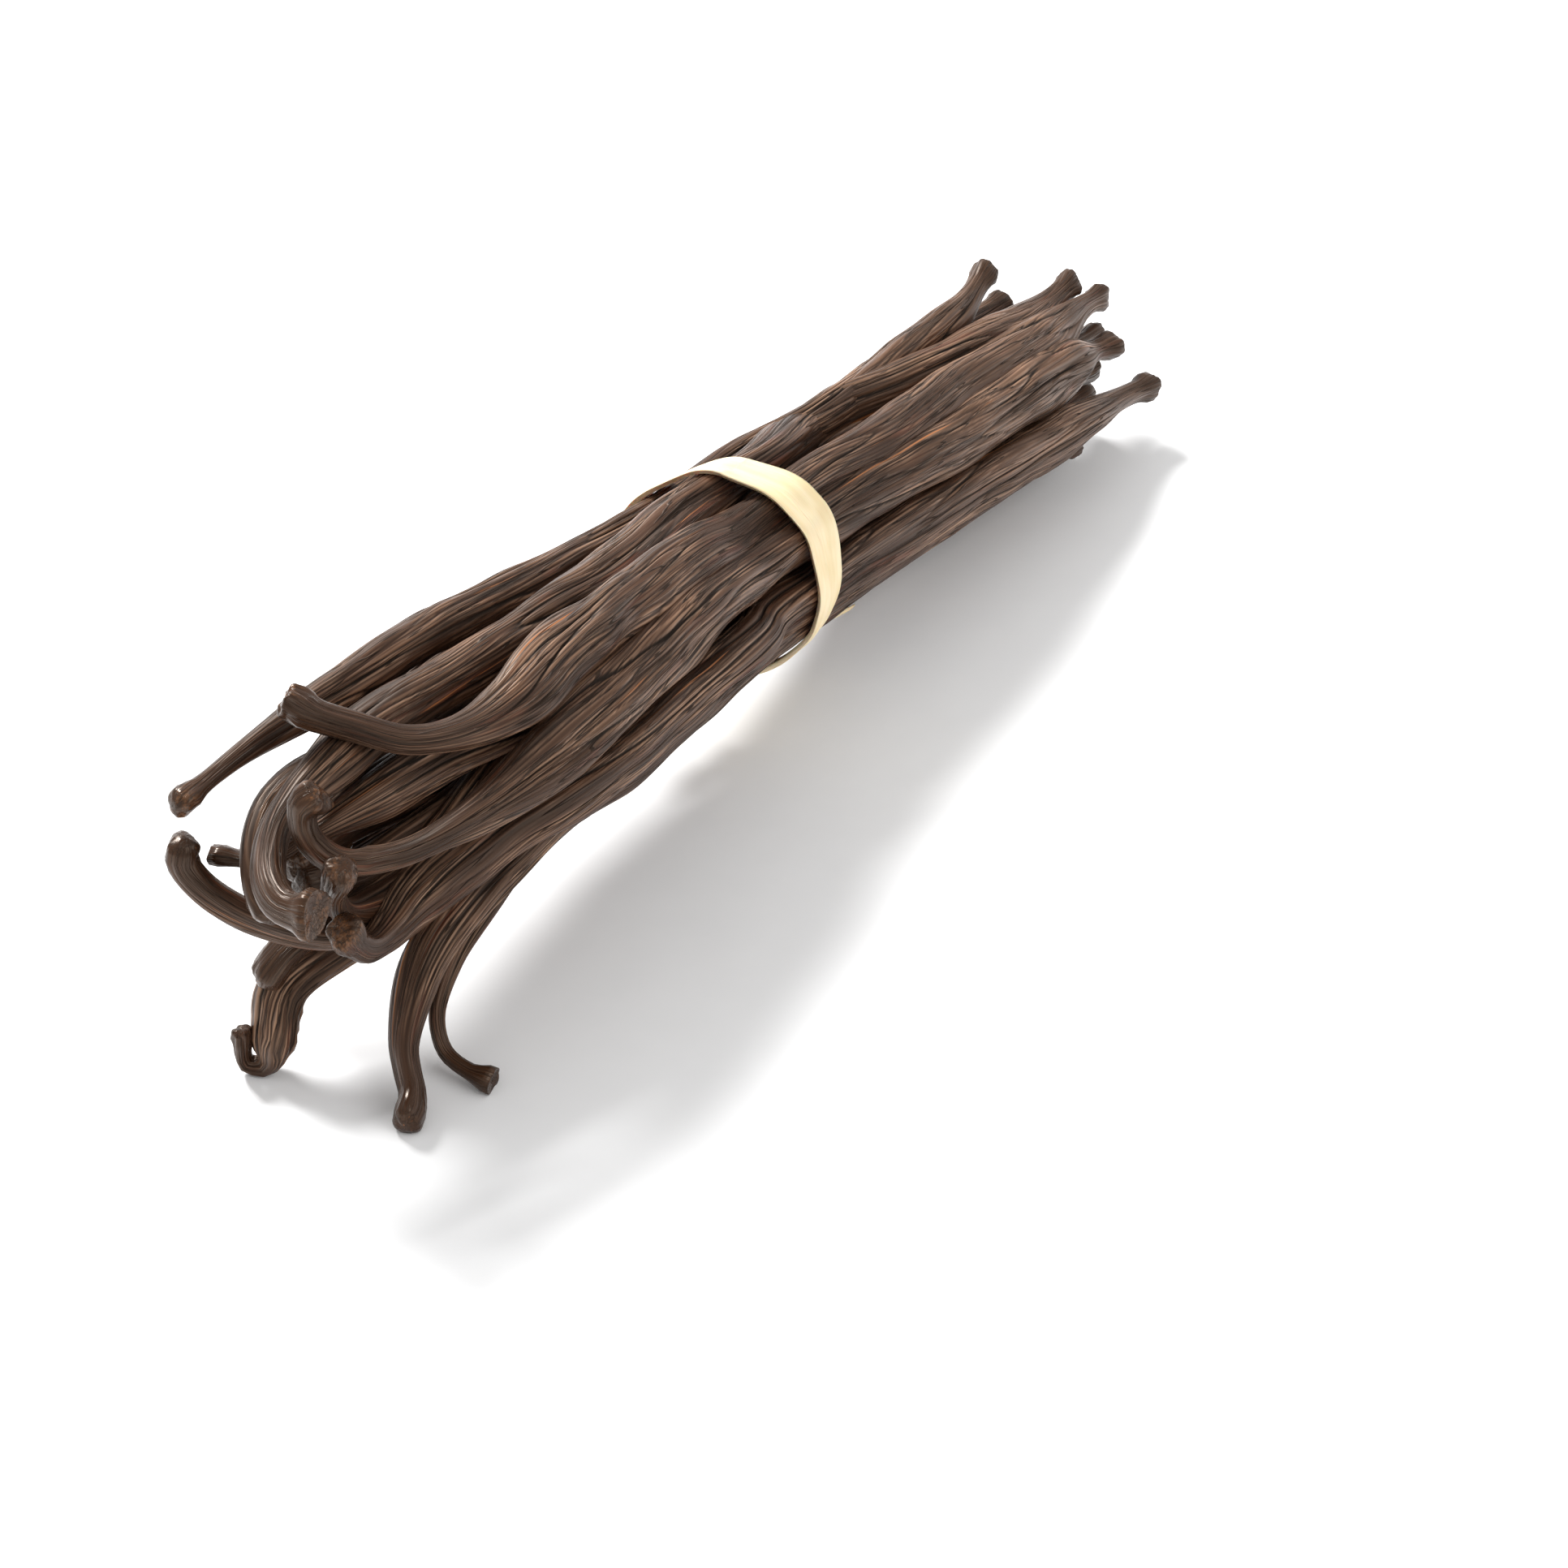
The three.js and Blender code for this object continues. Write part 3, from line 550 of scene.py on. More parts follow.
# %% Skin relief
FOLDS = [
    # across in mm, times longer than wide, height in mm
    dict(across=2.6, stretch=16, height=0.5),
    dict(across=1.0, stretch=30, height=0.24),
    dict(across=0.5, stretch=36, height=0.12),
]
# A small GROOVE makes sharp furrows. MEAN_HEIGHT is taken off, so that the girth stays.
GROOVE = 0.08
MEAN_HEIGHT = 0.7
# The grain's cylinder, and how far in radians it strays round the pod over these mm.
GRAIN_RADIUS = 0.45
DRIFT = 0.16
DRIFT_LENGTH = 22.5
WANDER = 0.03
WANDER_LENGTH = 9.0
WANDER_ROUND = 1.2
TWIST = 0.004
# Patches about 4 mm across and 20 mm long, where folds are deeper or shallower.
PATCH_SCALE = [0.25, 0.25, 0.05]
PATCH_MEAN = 0.8
PATCH_SWING = 0.7
PATCH_LIMITS = (0.15, 1.5)
# The share of the relief that thin necks keep, and the height of broad lumps.
NECK_RELIEF = 0.35
LUMPS = 0.3
LUMP_SCALE = [0.22, 0.22, 1 / 9.0]
SEEDS = dict(patch=7, drift=50, wander=90, lump=130, lobe=170, tip=210, stalk=240)


def grain_of(width, index, turn, along):
    """Where each point lies in its pod's grain, in mm, drifting and twisting round the pod."""
    circled = np.stack([np.cos(turn), np.sin(turn), along / WANDER_LENGTH], axis=-1)
    turned = turn + DRIFT * noise_along(along / DRIFT_LENGTH, index + SEEDS["drift"])
    turned = turned + WANDER * noise(circled * WANDER_ROUND, index + SEEDS["wander"])
    turned = turned + TWIST * along * (1 if index % 2 else -1)
    radius = GRAIN_RADIUS * width
    return np.stack([radius * np.cos(turned), radius * np.sin(turned), along], axis=-1)


def skin_relief(grain, index, slenderness):
    """Height of the skin in mm, with deep folds in some patches and shallow ones in others."""
    height = np.zeros(grain.shape[:-1])
    for k, fold in enumerate(FOLDS):
        scale = np.array([1, 1, 1 / fold["stretch"]]) / fold["across"]
        crease = np.abs(noise(grain * scale, index * 3 + k))
        rounded = np.minimum(crease / (crease + GROOVE) * (1 + 2 * GROOVE), 1)
        patch = noise(grain * PATCH_SCALE, index + 20 * k + SEEDS["patch"])
        depth = np.clip(PATCH_MEAN + PATCH_SWING * patch, *PATCH_LIMITS)
        height += fold["height"] * depth * (rounded - MEAN_HEIGHT)
    lump = LUMPS * noise(grain * LUMP_SCALE, index + SEEDS["lump"])
    return height * (NECK_RELIEF + (1 - NECK_RELIEF) * slenderness) + lump * slenderness


print("folds", [f["across"] for f in FOLDS], "mm across")

# %% [markdown]
# ## From grid to mesh
#
# A pod is rings of points along its route, joined by four-sided faces and closed by a cap at
# each end. bmesh could build it face by face; whole arrays handed to from_pydata are faster at
# this number of points. Pods that hardly show get a coarser grid.

# %% Grids and mesh objects
FINE_GRID = dict(around=144, step=1.0)
COARSE_GRID = dict(around=56, step=1.4)
HIDDEN = ("inner_low", "inner_far", "middle", "inner_near")


def grid_faces(rings, around):
    """Quads between rings of the same count."""
    here = np.arange(rings - 1)[:, None] * around + np.arange(around)[None, :]
    right = np.arange(rings - 1)[:, None] * around + (np.arange(around)[None, :] + 1) % around
    return np.stack([here, right, right + around, here + around], axis=-1).reshape(-1, 4)


def pole_faces(rings, around):
    """Triangles from the first and last rings to the two poles, which follow the rings."""
    pole = rings * around
    last = (rings - 1) * around
    pairs = [(a, (a + 1) % around) for a in range(around)]
    return [(pole, b, a) for a, b in pairs] + [(pole + 1, last + a, last + b) for a, b in pairs]


def mesh_object(name, points, quads, triangles, attributes, material):
    """A smooth mesh object from points in millimetres, with one attribute for each item."""
    mesh = bpy.data.meshes.new(name)
    faces = [tuple(f) for f in quads.tolist()] + [tuple(f) for f in triangles]
    mesh.from_pydata((points * MM).tolist(), [], faces)
    for label, values in attributes.items():
        kind, field = ("FLOAT_VECTOR", "vector") if values.ndim == 2 else ("FLOAT", "value")
        layer = mesh.attributes.new(label, kind, "POINT")
        layer.data.foreach_set(field, values.astype(np.float32).ravel())
    mesh.polygons.foreach_set("use_smooth", np.ones(len(mesh.polygons), bool))
    mesh.materials.append(material)
    made = bpy.data.objects.new(name, mesh)
    bpy.context.scene.collection.objects.link(made)
    return made


print("fine grid", FINE_GRID, "hidden pods", COARSE_GRID)

# %% [markdown]
# ## The two caps
#
# A blossom tip ends round. A stalk ends round or dished, where it came off the vine. A sphere
# set on the end would show a seam, so the last ring is drawn in towards a pole in a few steps,
# and whatever the rings carry is carried over the cap with it.

# %% Caps
CAP_SHARES = (0.97, 0.9, 0.78, 0.62, 0.42, 0.2)
DISH_CURVE = 0.7


def caps(rings, middle, along, domes, dishes):
    """Rings drawn in over each end, as a dome that can be dished, and a pole for each."""
    blocks, poles = [], []
    for at, heading, dome, dish in zip((0, -1), (-along[0], along[-1]), domes, dishes):
        drawn = []
        for share in CAP_SHARES:
            rise = dome * np.sqrt(1 - share**2) - dish * (1 - share) ** DISH_CURVE
            drawn.append(middle[at] + (rings[at] - middle[at]) * share + heading * rise)
        poles.append(middle[at] + heading * (dome - dish))
        blocks.append(np.array(drawn))
    return blocks[0][::-1], blocks[1], poles


def spread_on_caps(grid, at_pole=None):
    """Values on the rings, carried on over the caps. They go over to at_pole, if it is given."""
    shares = np.ones(len(CAP_SHARES)) if at_pole is None else np.array(CAP_SHARES)
    blocks, poles = [], []
    for ring, share in ((grid[0], shares[::-1]), (grid[-1], shares)):
        pole = ring.mean() if at_pole is None else at_pole
        blocks.append(pole + (ring - pole) * share[:, None])
        poles.append(pole)
    return np.concatenate([blocks[0].ravel(), grid.ravel(), blocks[1].ravel(), poles])


def grain_on_caps(grain, offset):
    """The grain is drawn in to the middle on the caps, so that its streaks end at the rim."""
    lengthwise = np.array([0, 0, 1])
    shares = np.array(CAP_SHARES)[:, None, None] * (1 - lengthwise) + lengthwise
    blocks = [grain[:1] * shares[::-1], grain, grain[-1:] * shares]
    poles = [grain[0, :1] * lengthwise, grain[-1, :1] * lengthwise]
    return np.concatenate([np.concatenate(blocks).reshape(-1, 3), *poles]) + offset


print("each cap has", len(CAP_SHARES), "rings and a pole")

# %% [markdown]
# ## Furrows, edges and torn ends
#
# The material paints shade into what is deep and a highlight along what stands out, and the
# ridges are lighter, partly as rubbing and partly as painted highlight. A shader can guess that
# from pointiness, but not after export, so it is measured here, against the neighbours round the
# pod. Where a stalk broke off, the skin is crumpled; noise of the size of torn skin knocks its
# points about.

# %% Furrows and crumpled ends
# The window is a share of the way round, the depth in mm makes the painted shade full black.
FURROW_WINDOW = 0.07
FURROW_DEPTH = 0.28
CAP_FURROW = 0.4
# For edges: neighbours to either side, and the height in mm that counts in full.
EDGE_WINDOW = 2
EDGE_HEIGHT = 0.05
# Crumpling, in mm: how far it reaches in from the end, and the size of its dents.
END_REACH = 3.4
CRUMPLE_SIZE = 1.5
CRUMPLE_CENTRE = 1.2
FINER = 2.2


def nearby_mean(relief, window):
    """The mean height of the neighbours up to window points to either side round the pod."""
    shifts = range(-window, window + 1)
    return sum(np.roll(relief, shift, axis=1) for shift in shifts) / len(shifts)


# The furrow share paints shade into the furrows and makes them duller.
def furrow_of(relief):
    """0 on a ridge, 1 in a furrow."""
    window = max(1, int(relief.shape[1] * FURROW_WINDOW))
    return np.clip(0.5 + (nearby_mean(relief, window) - relief) / (2 * FURROW_DEPTH), 0, 1)


# The edge share paints a highlight along the edges of the ridges.
def edge_highlight_of(relief):
    """1 where the skin stands out from its near neighbours, as along the edge of a ridge."""
    return np.clip((relief - nearby_mean(relief, EDGE_WINDOW)) / EDGE_HEIGHT, 0, 1)


def crumpled(points, centre, heading, amount, seed):
    """Points near an end, knocked in and out."""
    away = points - (centre - heading * CRUMPLE_CENTRE)
    distance = np.linalg.norm(away, axis=-1, keepdims=True)
    along_by = np.abs(np.sum((points - centre) * heading, axis=-1, keepdims=True))
    nearness = near(along_by, END_REACH) * (distance < 3 * END_REACH)
    rough = noise(points / CRUMPLE_SIZE, seed) + 0.5 * noise(points * FINER / CRUMPLE_SIZE, seed + 1)
    return points + away / np.maximum(distance, 0.1) * (rough * amount)[..., None] * nearness


print("a furrow is black from", FURROW_DEPTH, "mm deep")

# %% [markdown]
# ## One whole pod
#
# Here the route, the girth and the relief come together. The section is not a plain oval: pods
# press on each other while they are soft, which leaves three or two slow lobes round them.

# %% Pod arrays
# CROWDING moves the grid's points to the sides of a flat pod, where its outline shows.
CROWDING = 0.4
# Lobes are a share of the girth, and turn round the pod over these mm.
LOBES = 0.085
LOBE_LENGTH = 45.0
LOBE_TURN = 5
# No furrow goes deeper than this share of the radius leaves.
LEAST_RADIUS = 0.4
TIP_DOME = 1.08
TIP_CRUMPLE = 0.3
# Wrinkles fade out over the last mm of both ends.
FADE_REACH = 3.0
STALK_FADE = 0.75
TIP_FADE = 0.6
# How far the colours of the ends reach, in mm, and where a pod is palest, in mm from the tie.
STALK_REACH = 9.0
BLOSSOM_REACH = 5.0
SCAR_REACH = 1.6
PALING_REACH = 70.0
# Steps between pods that never line up: along the textures, and round the tones.
GRAIN_OFFSET = 40.0
GOLDEN_SHARE = 0.381966


def lobed(index, stations, turn):
    """How far the pod's section swells at each turn."""
    drift = noise_along(stations / LOBE_LENGTH, index + SEEDS["lobe"])
    start = LOBE_TURN * drift[:, None] + index
    return 1 + LOBES * np.cos(3 * turn + start) + 0.5 * LOBES * np.cos(2 * turn + 2 * start)


def pod_attributes(pod, index, relief, grain, down, x_from_tie):
    """What the material reads at each point of a pod."""
    to_end = pod["length"] - down
    broken = ENDS[pod["end"]]["scar"] * near(to_end, SCAR_REACH, 4)
    paling = smooth(x_from_tie / PALING_REACH)[:, None]
    return {
        "grain": grain_on_caps(grain, index * GRAIN_OFFSET),
        "furrow": spread_on_caps(furrow_of(relief), CAP_FURROW),
        "edge": spread_on_caps(edge_highlight_of(relief), 0.0),
        "stalk_end": spread_on_caps(near(to_end, STALK_REACH)),
        "blossom_end": spread_on_caps(near(down, BLOSSOM_REACH)),
        "scar": spread_on_caps(broken),
        "pod_tone": spread_on_caps(0 * down + (index * GOLDEN_SHARE) % 1.0),
        "dryness": spread_on_caps(0 * down + paling),
    }


def pod_arrays(pod, index):
    """The points, faces and attributes of one pod."""
    grid = COARSE_GRID if pod["name"] in HIDDEN else FINE_GRID
    around = grid["around"]
    end = ENDS[pod["end"]]
    length = pod["length"]
    end_dome = end["dome"] * (pod["neck"] + 0.7 * end["gain"])
    stations = np.linspace(TIP_DOME, length - end_dome, int(length / grid["step"]))
    middle, _ = smooth_route(pod["route"], stations)
    x_from_tie = middle[:, 0] + CENTRE[0]
    tie_turn = np.radians(pod["turn"])
    outward = np.array([0, -np.sin(tie_turn), np.cos(tie_turn)])
    along, out = carried_frame(middle, int(np.argmin(np.abs(x_from_tie))), outward)
    side = np.cross(along, out)

    half = half_width(pod, index, stations, x_from_tie)
    slenderness = smooth((half - pod["neck"]) / (pod["width"] / 2 - pod["neck"]))
    thick = half_thickness(pod, half, stations, slenderness)
    turn = np.linspace(0, 2 * np.pi, around, endpoint=False)
    turn = turn + (CROWDING * np.cos(turn) if pod["ring"] == "outer" else 0)
    turn = turn[None, :] + np.zeros((len(stations), 1))
    down = stations[:, None] + np.zeros((1, around))
    grain = grain_of(pod["width"], index, turn, down)
    relief = skin_relief(grain, index, slenderness[:, None])
    relief *= 1 - STALK_FADE * near(length - down, FADE_REACH) - TIP_FADE * near(down, FADE_REACH)

    lobes = lobed(index, stations, turn)
    across_side = half[:, None] * lobes * np.cos(turn)
    across_out = thick[:, None] * lobes * np.sin(turn)
    size = np.hypot(across_side, across_out)
    grown = np.maximum(size + relief, LEAST_RADIUS * size) / size
    rings = middle[:, None] + side[:, None] * (across_side * grown)[..., None]
    rings = rings + out[:, None] * (across_out * grown)[..., None]

    tip_cap, end_cap, poles = caps(rings, middle, along, (TIP_DOME, end_dome), (0, end["dish"]))
    points = np.vstack([*tip_cap, *rings, *end_cap, *poles])
    points = crumpled(points, middle[0], -along[0], TIP_CRUMPLE, index + SEEDS["tip"])
    points = crumpled(points, middle[-1], along[-1], end["crumple"], index + SEEDS["stalk"])
    points[:, 2] = np.maximum(points[:, 2], 0)

    total = len(stations) + 2 * len(CAP_SHARES)
    attributes = pod_attributes(pod, index, relief, grain, down, x_from_tie)
    return points, grid_faces(total, around), pole_faces(total, around), attributes


print("lobes of", 100 * LOBES, "percent round each pod")

# %% [markdown]
# ## Textures along the grain
#
# Everything on a pod's skin runs lengthwise: wrinkles, stains and threads. Image textures would
# need the skin unrolled. Noise on the stored grain needs no unrolling, and its scale is a real
# width in millimetres, divided by how many times longer than wide its streaks are.

# %% Streaks and fine lines


def stored(tree, name, out="Fac"):
    """A value that the mesh carries."""
    return add_node(tree, "Attribute", out=out, attribute_name=name)


def streaks(tree, across, stretch, detail=2.0, offset=0.0):
    """Noise in streaks this many mm across, along the grain."""
    scale = (1 / across, 1 / across, 1 / (across * stretch))
    place_in = {"Vector": stored(tree, "grain", "Vector"), "Scale": scale, "Location": (offset,) * 3}
    mapped = add_node(tree, "Mapping", place_in)
    return add_node(tree, "TexNoise", {"Vector": mapped, "Scale": 1.0, "Detail": detail, "Roughness": 0.6})


def fine_lines(tree, texture, thickness):
    """1 on thin lines along the grain, where a texture passes its middle value."""
    past_middle = add_node(tree, "Math", {0: texture, 1: 0.5}, operation="SUBTRACT")
    off_middle = add_node(tree, "Math", {0: past_middle}, operation="ABSOLUTE")
    return cover(tree, (off_middle, thickness, 0.3 * thickness))


print("streaks follow the attribute grain, in mm")

# %% [markdown]
# ## Cured vanilla skin
#
# Curing sweats and sun-dries a green pod until its skin is thin, tough and oily, the brown-black
# of old leather. What the eye reads is not one brown. The furrows are painted nearly black, as
# their shade; the ridges are paler, partly rubbed and partly a painted highlight, and the edges of
# the wrinkles are painted paler still, as a highlight; here and there a rib has worn to red-brown
# or a thread of tan, and a broken stalk has a crumbly tan scar. A plant skin's index of
# refraction is about 1.45.
# Its oil gives a soft broken shine, from rough 0.48 to 0.33, duller down in the furrows, and a
# brown cast to what it mirrors.

# %% Skin material


def skin_textures(tree):
    """The textures of the skin by name, with widths in mm."""
    texture = dict(
        broad=streaks(tree, 3.2, 6),
        zone=cover(tree, (streaks(tree, 3.6, 5, offset=37), 0.44, 0.6)),
        plateau=streaks(tree, 1.2, 26, offset=5),
        fine=streaks(tree, 0.3, 40, offset=71),
        wrinkle=streaks(tree, 0.8, 34, detail=1.0, offset=61),
        hair=streaks(tree, 0.45, 40, detail=1.0, offset=83),
        thread=streaks(tree, 0.5, 45, detail=0.5, offset=11),
        rust=streaks(tree, 1.8, 9, offset=23),
        crumb=streaks(tree, 0.5, 1, offset=51),
    )
    # Thin dark lines along the grain, the fine cuts: painted shade in fine creases, also sunk in the bump.
    hairs = cover(tree, fine_lines(tree, texture["hair"], 0.04), texture["zone"], 0.7)
    cuts = {0: fine_lines(tree, texture["wrinkle"], 0.02), 1: hairs}
    texture["cut"] = add_node(tree, "Math", cuts, operation="MAXIMUM")
    for name in ("furrow", "edge", "stalk_end", "blossom_end", "scar", "pod_tone", "dryness"):
        texture[name] = stored(tree, name)
    # Where the skin stands above its neighbours: painted lighter there, part rubbing and part highlight,
    # and tan threads lie there.
    texture["ridge"] = cover(tree, (texture["furrow"], 0.6, 0.36))
    return texture


def skin_colour(tree, texture):
    """A dark ground and its coats, each with what it covers."""
    broad, rust, furrow = (texture[name] for name in ("broad", "rust", "furrow"))
    coats = [
        ("#3a2214", (texture["plateau"], 0.34, 0.66)),
        # each pod has its own brown, and every pod grows paler towards its blossom tip
        ("#29140a", (texture["pod_tone"], 0, 1, 0, 0.4)),
        ("#5c402c", (texture["dryness"], 0, 1, 0, 0.45)),
        # ridges paler, part rubbing and part painted highlight; painted shade of fine wrinkles; rust;
        # painted highlight on edges; tan threads
        ("#5a3b29", texture["ridge"], (broad, 0.36, 0.62, 0, 0.5)),
        ("#1c0e07", texture["zone"], (texture["fine"], 0.52, 0.38, 0, 0.6)),
        ("#5c2e1c", (rust, 0.6, 0.74, 0, 0.6)),
        ("#b08b70", texture["edge"], (broad, 0.36, 0.62, 0.08, 0.62)),
        ("#a8693c", texture["ridge"], (texture["thread"], 0.74, 0.79, 0, 0.85)),
        # painted shade in deep furrows and fine cuts
        ("#0e0502", (furrow, 0.6, 0.9, 0, 0.97)),
        ("#150903", texture["cut"], 0.85),
        # the two ends, and the crumbs on a broken stalk
        ("#352216", (texture["stalk_end"], 0.1, 0.85, 0, 0.5)),
        ("#2c1a10", (texture["blossom_end"], 0.2, 0.9, 0, 0.6)),
        ("#7e5536", texture["scar"], (texture["crumb"], 0.38, 0.6), (rust, 0.46, 0.58)),
    ]
    colour = linear("#1a0b04")
    for over, *masks in coats:
        colour = coat(tree, colour, over, *masks)
    return colour


def skin_roughness(tree, texture):
    """Oily in patches, duller in furrows and cuts, and polished by handling at the stalk."""
    sunk = {0: cover(tree, (texture["furrow"], 0.5, 0.9)), 1: texture["cut"]}
    dull = cover(tree, add_node(tree, "Math", sunk, operation="MAXIMUM"), 0.35)
    oily = cover(tree, (texture["broad"], 0.3, 0.7, 0.48, 0.33))
    rough = add_node(tree, "Math", {0: oily, 1: dull}, operation="ADD")
    polish = cover(tree, texture["stalk_end"], 0.16)
    return add_node(tree, "Math", {0: rough, 1: polish}, operation="SUBTRACT")


def cured_skin(tree):
    """Cured vanilla skin, coloured along its own grain."""
    texture = skin_textures(tree)
    raised = {0: cover(tree, texture["fine"], texture["zone"], 0.7), 1: texture["cut"]}
    height = add_node(tree, "Math", raised, operation="SUBTRACT")
    height = cover(tree, height, (texture["stalk_end"], 0.9, 0.2, 0.6, 1))
    return {
        "Base Color": skin_colour(tree, texture),
        "Roughness": skin_roughness(tree, texture),
        "IOR": 1.45,
        "Specular IOR Level": 0.46,
        "Specular Tint": linear("#ffead7"),
        "Normal": add_node(tree, "Bump", {"Height": height, "Strength": 0.9, "Distance": 0.00015}),
    }


vanilla_skin = material_from("cured_vanilla_skin", cured_skin)

# %% [markdown]
# ## The pods
#
# Real pods are loose under their tie, so each is an object of its own, and together they stand
# for the solid model's one lump. Copies of one pod would be quicker to make, but the eye finds a
# repeated wrinkle at once, so every pod is grown afresh from its own numbers.

# %% Make the pods
pod_pieces = []
pod_cloud = []
for index, pod in enumerate(PODS):
    points, quads, triangles, attributes = pod_arrays(pod, index)
    pod_cloud.append(points)
    piece = mesh_object("pod_" + pod["name"], points, quads, triangles, attributes, vanilla_skin)
    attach(piece, "root")
    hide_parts("pods")
    pod_pieces.append(piece)
faces = sum(2 * len(p.data.polygons) for p in pod_pieces)
print(len(pod_pieces), "pods with about", faces, "triangles")

# %% [markdown]
# ## The heart of the bundle
#
# Between the pods one sees only dark, because more skin lies behind. More hidden pods could fill
# the middle; a short core of the same skin does it with far fewer faces, and no daylight shows
# through. The core's skin is painted dark all over, as the shade inside the bundle.

# %% Core
CORE_RADII = [(60, 0.5), (56, 3.5), (46, 5.6), (20, 6.8), (-20, 6.8), (-44, 6), (-58, 3.5), (-64, 0.5)]
CORE_AROUND = 64
CORE_STEP = 1.5
CORE_SKIN_WIDTH = 16.0
CORE_SEED = 40
# How far the core's skin is painted dark as shade, given as its furrow value.
CORE_SHADE = 0.7
CORE_LEAST = 0.2


def core_arrays():
    """A spindle along the bundle's middle, with the same folds as a pod."""
    xs = np.arange(CORE_RADII[-1][0], CORE_RADII[0][0], CORE_STEP)
    stops = CORE_RADII[::-1]
    radius = np.interp(xs, [x for x, _ in stops], [r for _, r in stops])
    turn = np.linspace(0, 2 * np.pi, CORE_AROUND, endpoint=False)[None, :] + np.zeros((len(xs), 1))
    down = xs[:, None] + np.zeros((1, CORE_AROUND))
    grain = grain_of(CORE_SKIN_WIDTH, CORE_SEED, turn, down)
    relief = skin_relief(grain, CORE_SEED, np.ones_like(down))
    size = np.maximum(radius[:, None] + relief, CORE_LEAST)
    rings = place(np.stack([down, size * np.cos(turn), size * np.sin(turn)], axis=-1))
    points = np.vstack([rings.reshape(-1, 3), place([[xs[0], 0, 0], [xs[-1], 0, 0]])])
    quads = grid_faces(len(xs), CORE_AROUND)[:, ::-1]
    triangles = [face[::-1] for face in pole_faces(len(xs), CORE_AROUND)]
    flat = np.vstack([grain.reshape(-1, 3), grain[0, :1], grain[-1, :1]])
    none = np.zeros(len(points))
    bare = ("stalk_end", "blossom_end", "scar", "pod_tone", "dryness", "edge")
    attributes = {"grain": flat, "furrow": none + CORE_SHADE, **{label: none for label in bare}}
    return points, quads, triangles, attributes


core = mesh_object("bundle_core", *core_arrays(), vanilla_skin)
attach(core, "root")
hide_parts("pods")
print("core", len(core.data.polygons), "faces")

# %% [markdown]
# ## The raffia
#
# Raffia is the skin of a palm leaf, peeled off in a ribbon and dried: pale, papery, with
# straight fibres along it. Here one up to 8 mm wide is drawn round the pods, with one edge folded
# over on itself, and knotted underneath. Cloth simulation could tighten a strip round the pods,
# but a stiff leaf spans straight from back to back, like a drum skin. That is a convex hull of
# the pods' points, with its corners eased, and it is quicker and surer to work out.

# %% How far the pods reach
# In mm: where the hoop's middle is along the bundle, its mean radius, and how far it leans.
BAND_MIDDLE = -3.5
BAND_RADIUS = 13.7
BAND_SLANT = 5.2
BAND_SLANT_TURN = 51
BAND_WIDTH = 7.6
# The reach is taken in three slices across the strip, and eased over these degrees either way.
SLICES = (-2.6, 0.0, 2.6)
SLICE_HALF = 1.0
CORNER_ROUNDING = 8
DEGREES = np.arange(360)


def bundle_axes(points):
    """World millimetres back to the bundle's x, y, h."""
    x = points[:, 0] + CENTRE[0]
    h = points[:, 2] - TIE_HEIGHT + x * np.tan(LEAN)
    return np.stack([x, points[:, 1] + CENTRE[1], h], axis=1)


def askew(turn):
    """How far the hoop is pushed towards the blossom tips at a turn in degrees."""
    return BAND_SLANT * np.cos(np.radians(turn - BAND_SLANT_TURN))


def reach_round(cloud, over):
    """How far the pods reach at each degree, a strip of the hoop's width off its middle line."""
    flat = cloud[:, 1:] - TIE_CENTRE
    turn = np.degrees(np.arctan2(-flat[:, 0], flat[:, 1]))
    beside = np.abs(cloud[:, 0] - BAND_MIDDLE - askew(turn) - over) < SLICE_HALF
    flat = flat[beside]
    corners = flat[convex_hull_2d(flat.tolist())]
    edges = np.roll(corners, -1, axis=0) - corners
    normals = np.stack([edges[:, 1], -edges[:, 0]], axis=1)
    normals *= np.sign(np.sum(normals * corners, axis=1, keepdims=True))
    rays = np.stack([-np.sin(np.radians(DEGREES)), np.cos(np.radians(DEGREES))], axis=1)
    facing = rays @ normals.T
    distance = np.sum(normals * corners, axis=1) / np.where(facing > 0, facing, 1)
    reach = np.where(facing > 1e-9, distance, np.inf).min(axis=1)
    window = range(-CORNER_ROUNDING, CORNER_ROUNDING + 1)
    return sum(np.roll(reach, shift) for shift in window) / len(window)


cloud = bundle_axes(np.vstack(pod_cloud))
cloud = cloud[np.abs(cloud[:, 0] - BAND_MIDDLE) < BAND_SLANT + 2 * BAND_WIDTH]
REACHES = [reach_round(cloud, over) for over in SLICES]
print("the pods reach", round(REACHES[1].min(), 1), "to", round(REACHES[1].max(), 1), "mm out")

# %% [markdown]
# ## A ribbon
#
# Hoop, knot and tails are all the same ribbon, so one function makes any of them as a thin
# closed skin. It asks a surface function where each point lies.

# %% Points of the hoop, and a ribbon
BAND_THICK = 0.3
BAND_CLEARANCE = 0.1
STRIP_ACROSS = 22
EDGE_SQUARENESS = 8


def band_radius(turn, over):
    """The hoop's radius: it hugs the pods' backs and spans straight between them."""
    near, middle, far = (np.interp(turn, DEGREES, reach, period=360) for reach in REACHES)
    share = np.clip((over - SLICES[0]) / (SLICES[1] - SLICES[0]), 0, 2)
    reach = np.where(share < 1, near + (middle - near) * share, middle + (far - middle) * (share - 1))
    return reach + BAND_CLEARANCE + BAND_THICK / 2


def band_point(turn, over, lift):
    """A point of the hoop: turn in degrees, over along the bundle and lift outwards in mm."""
    a = np.radians(turn)
    radius = band_radius(turn, over) + lift
    y = TIE_CENTRE[0] - radius * np.sin(a)
    h = TIE_CENTRE[1] + radius * np.cos(a)
    return place(np.stack([BAND_MIDDLE + askew(turn) + over, y, h], axis=-1))


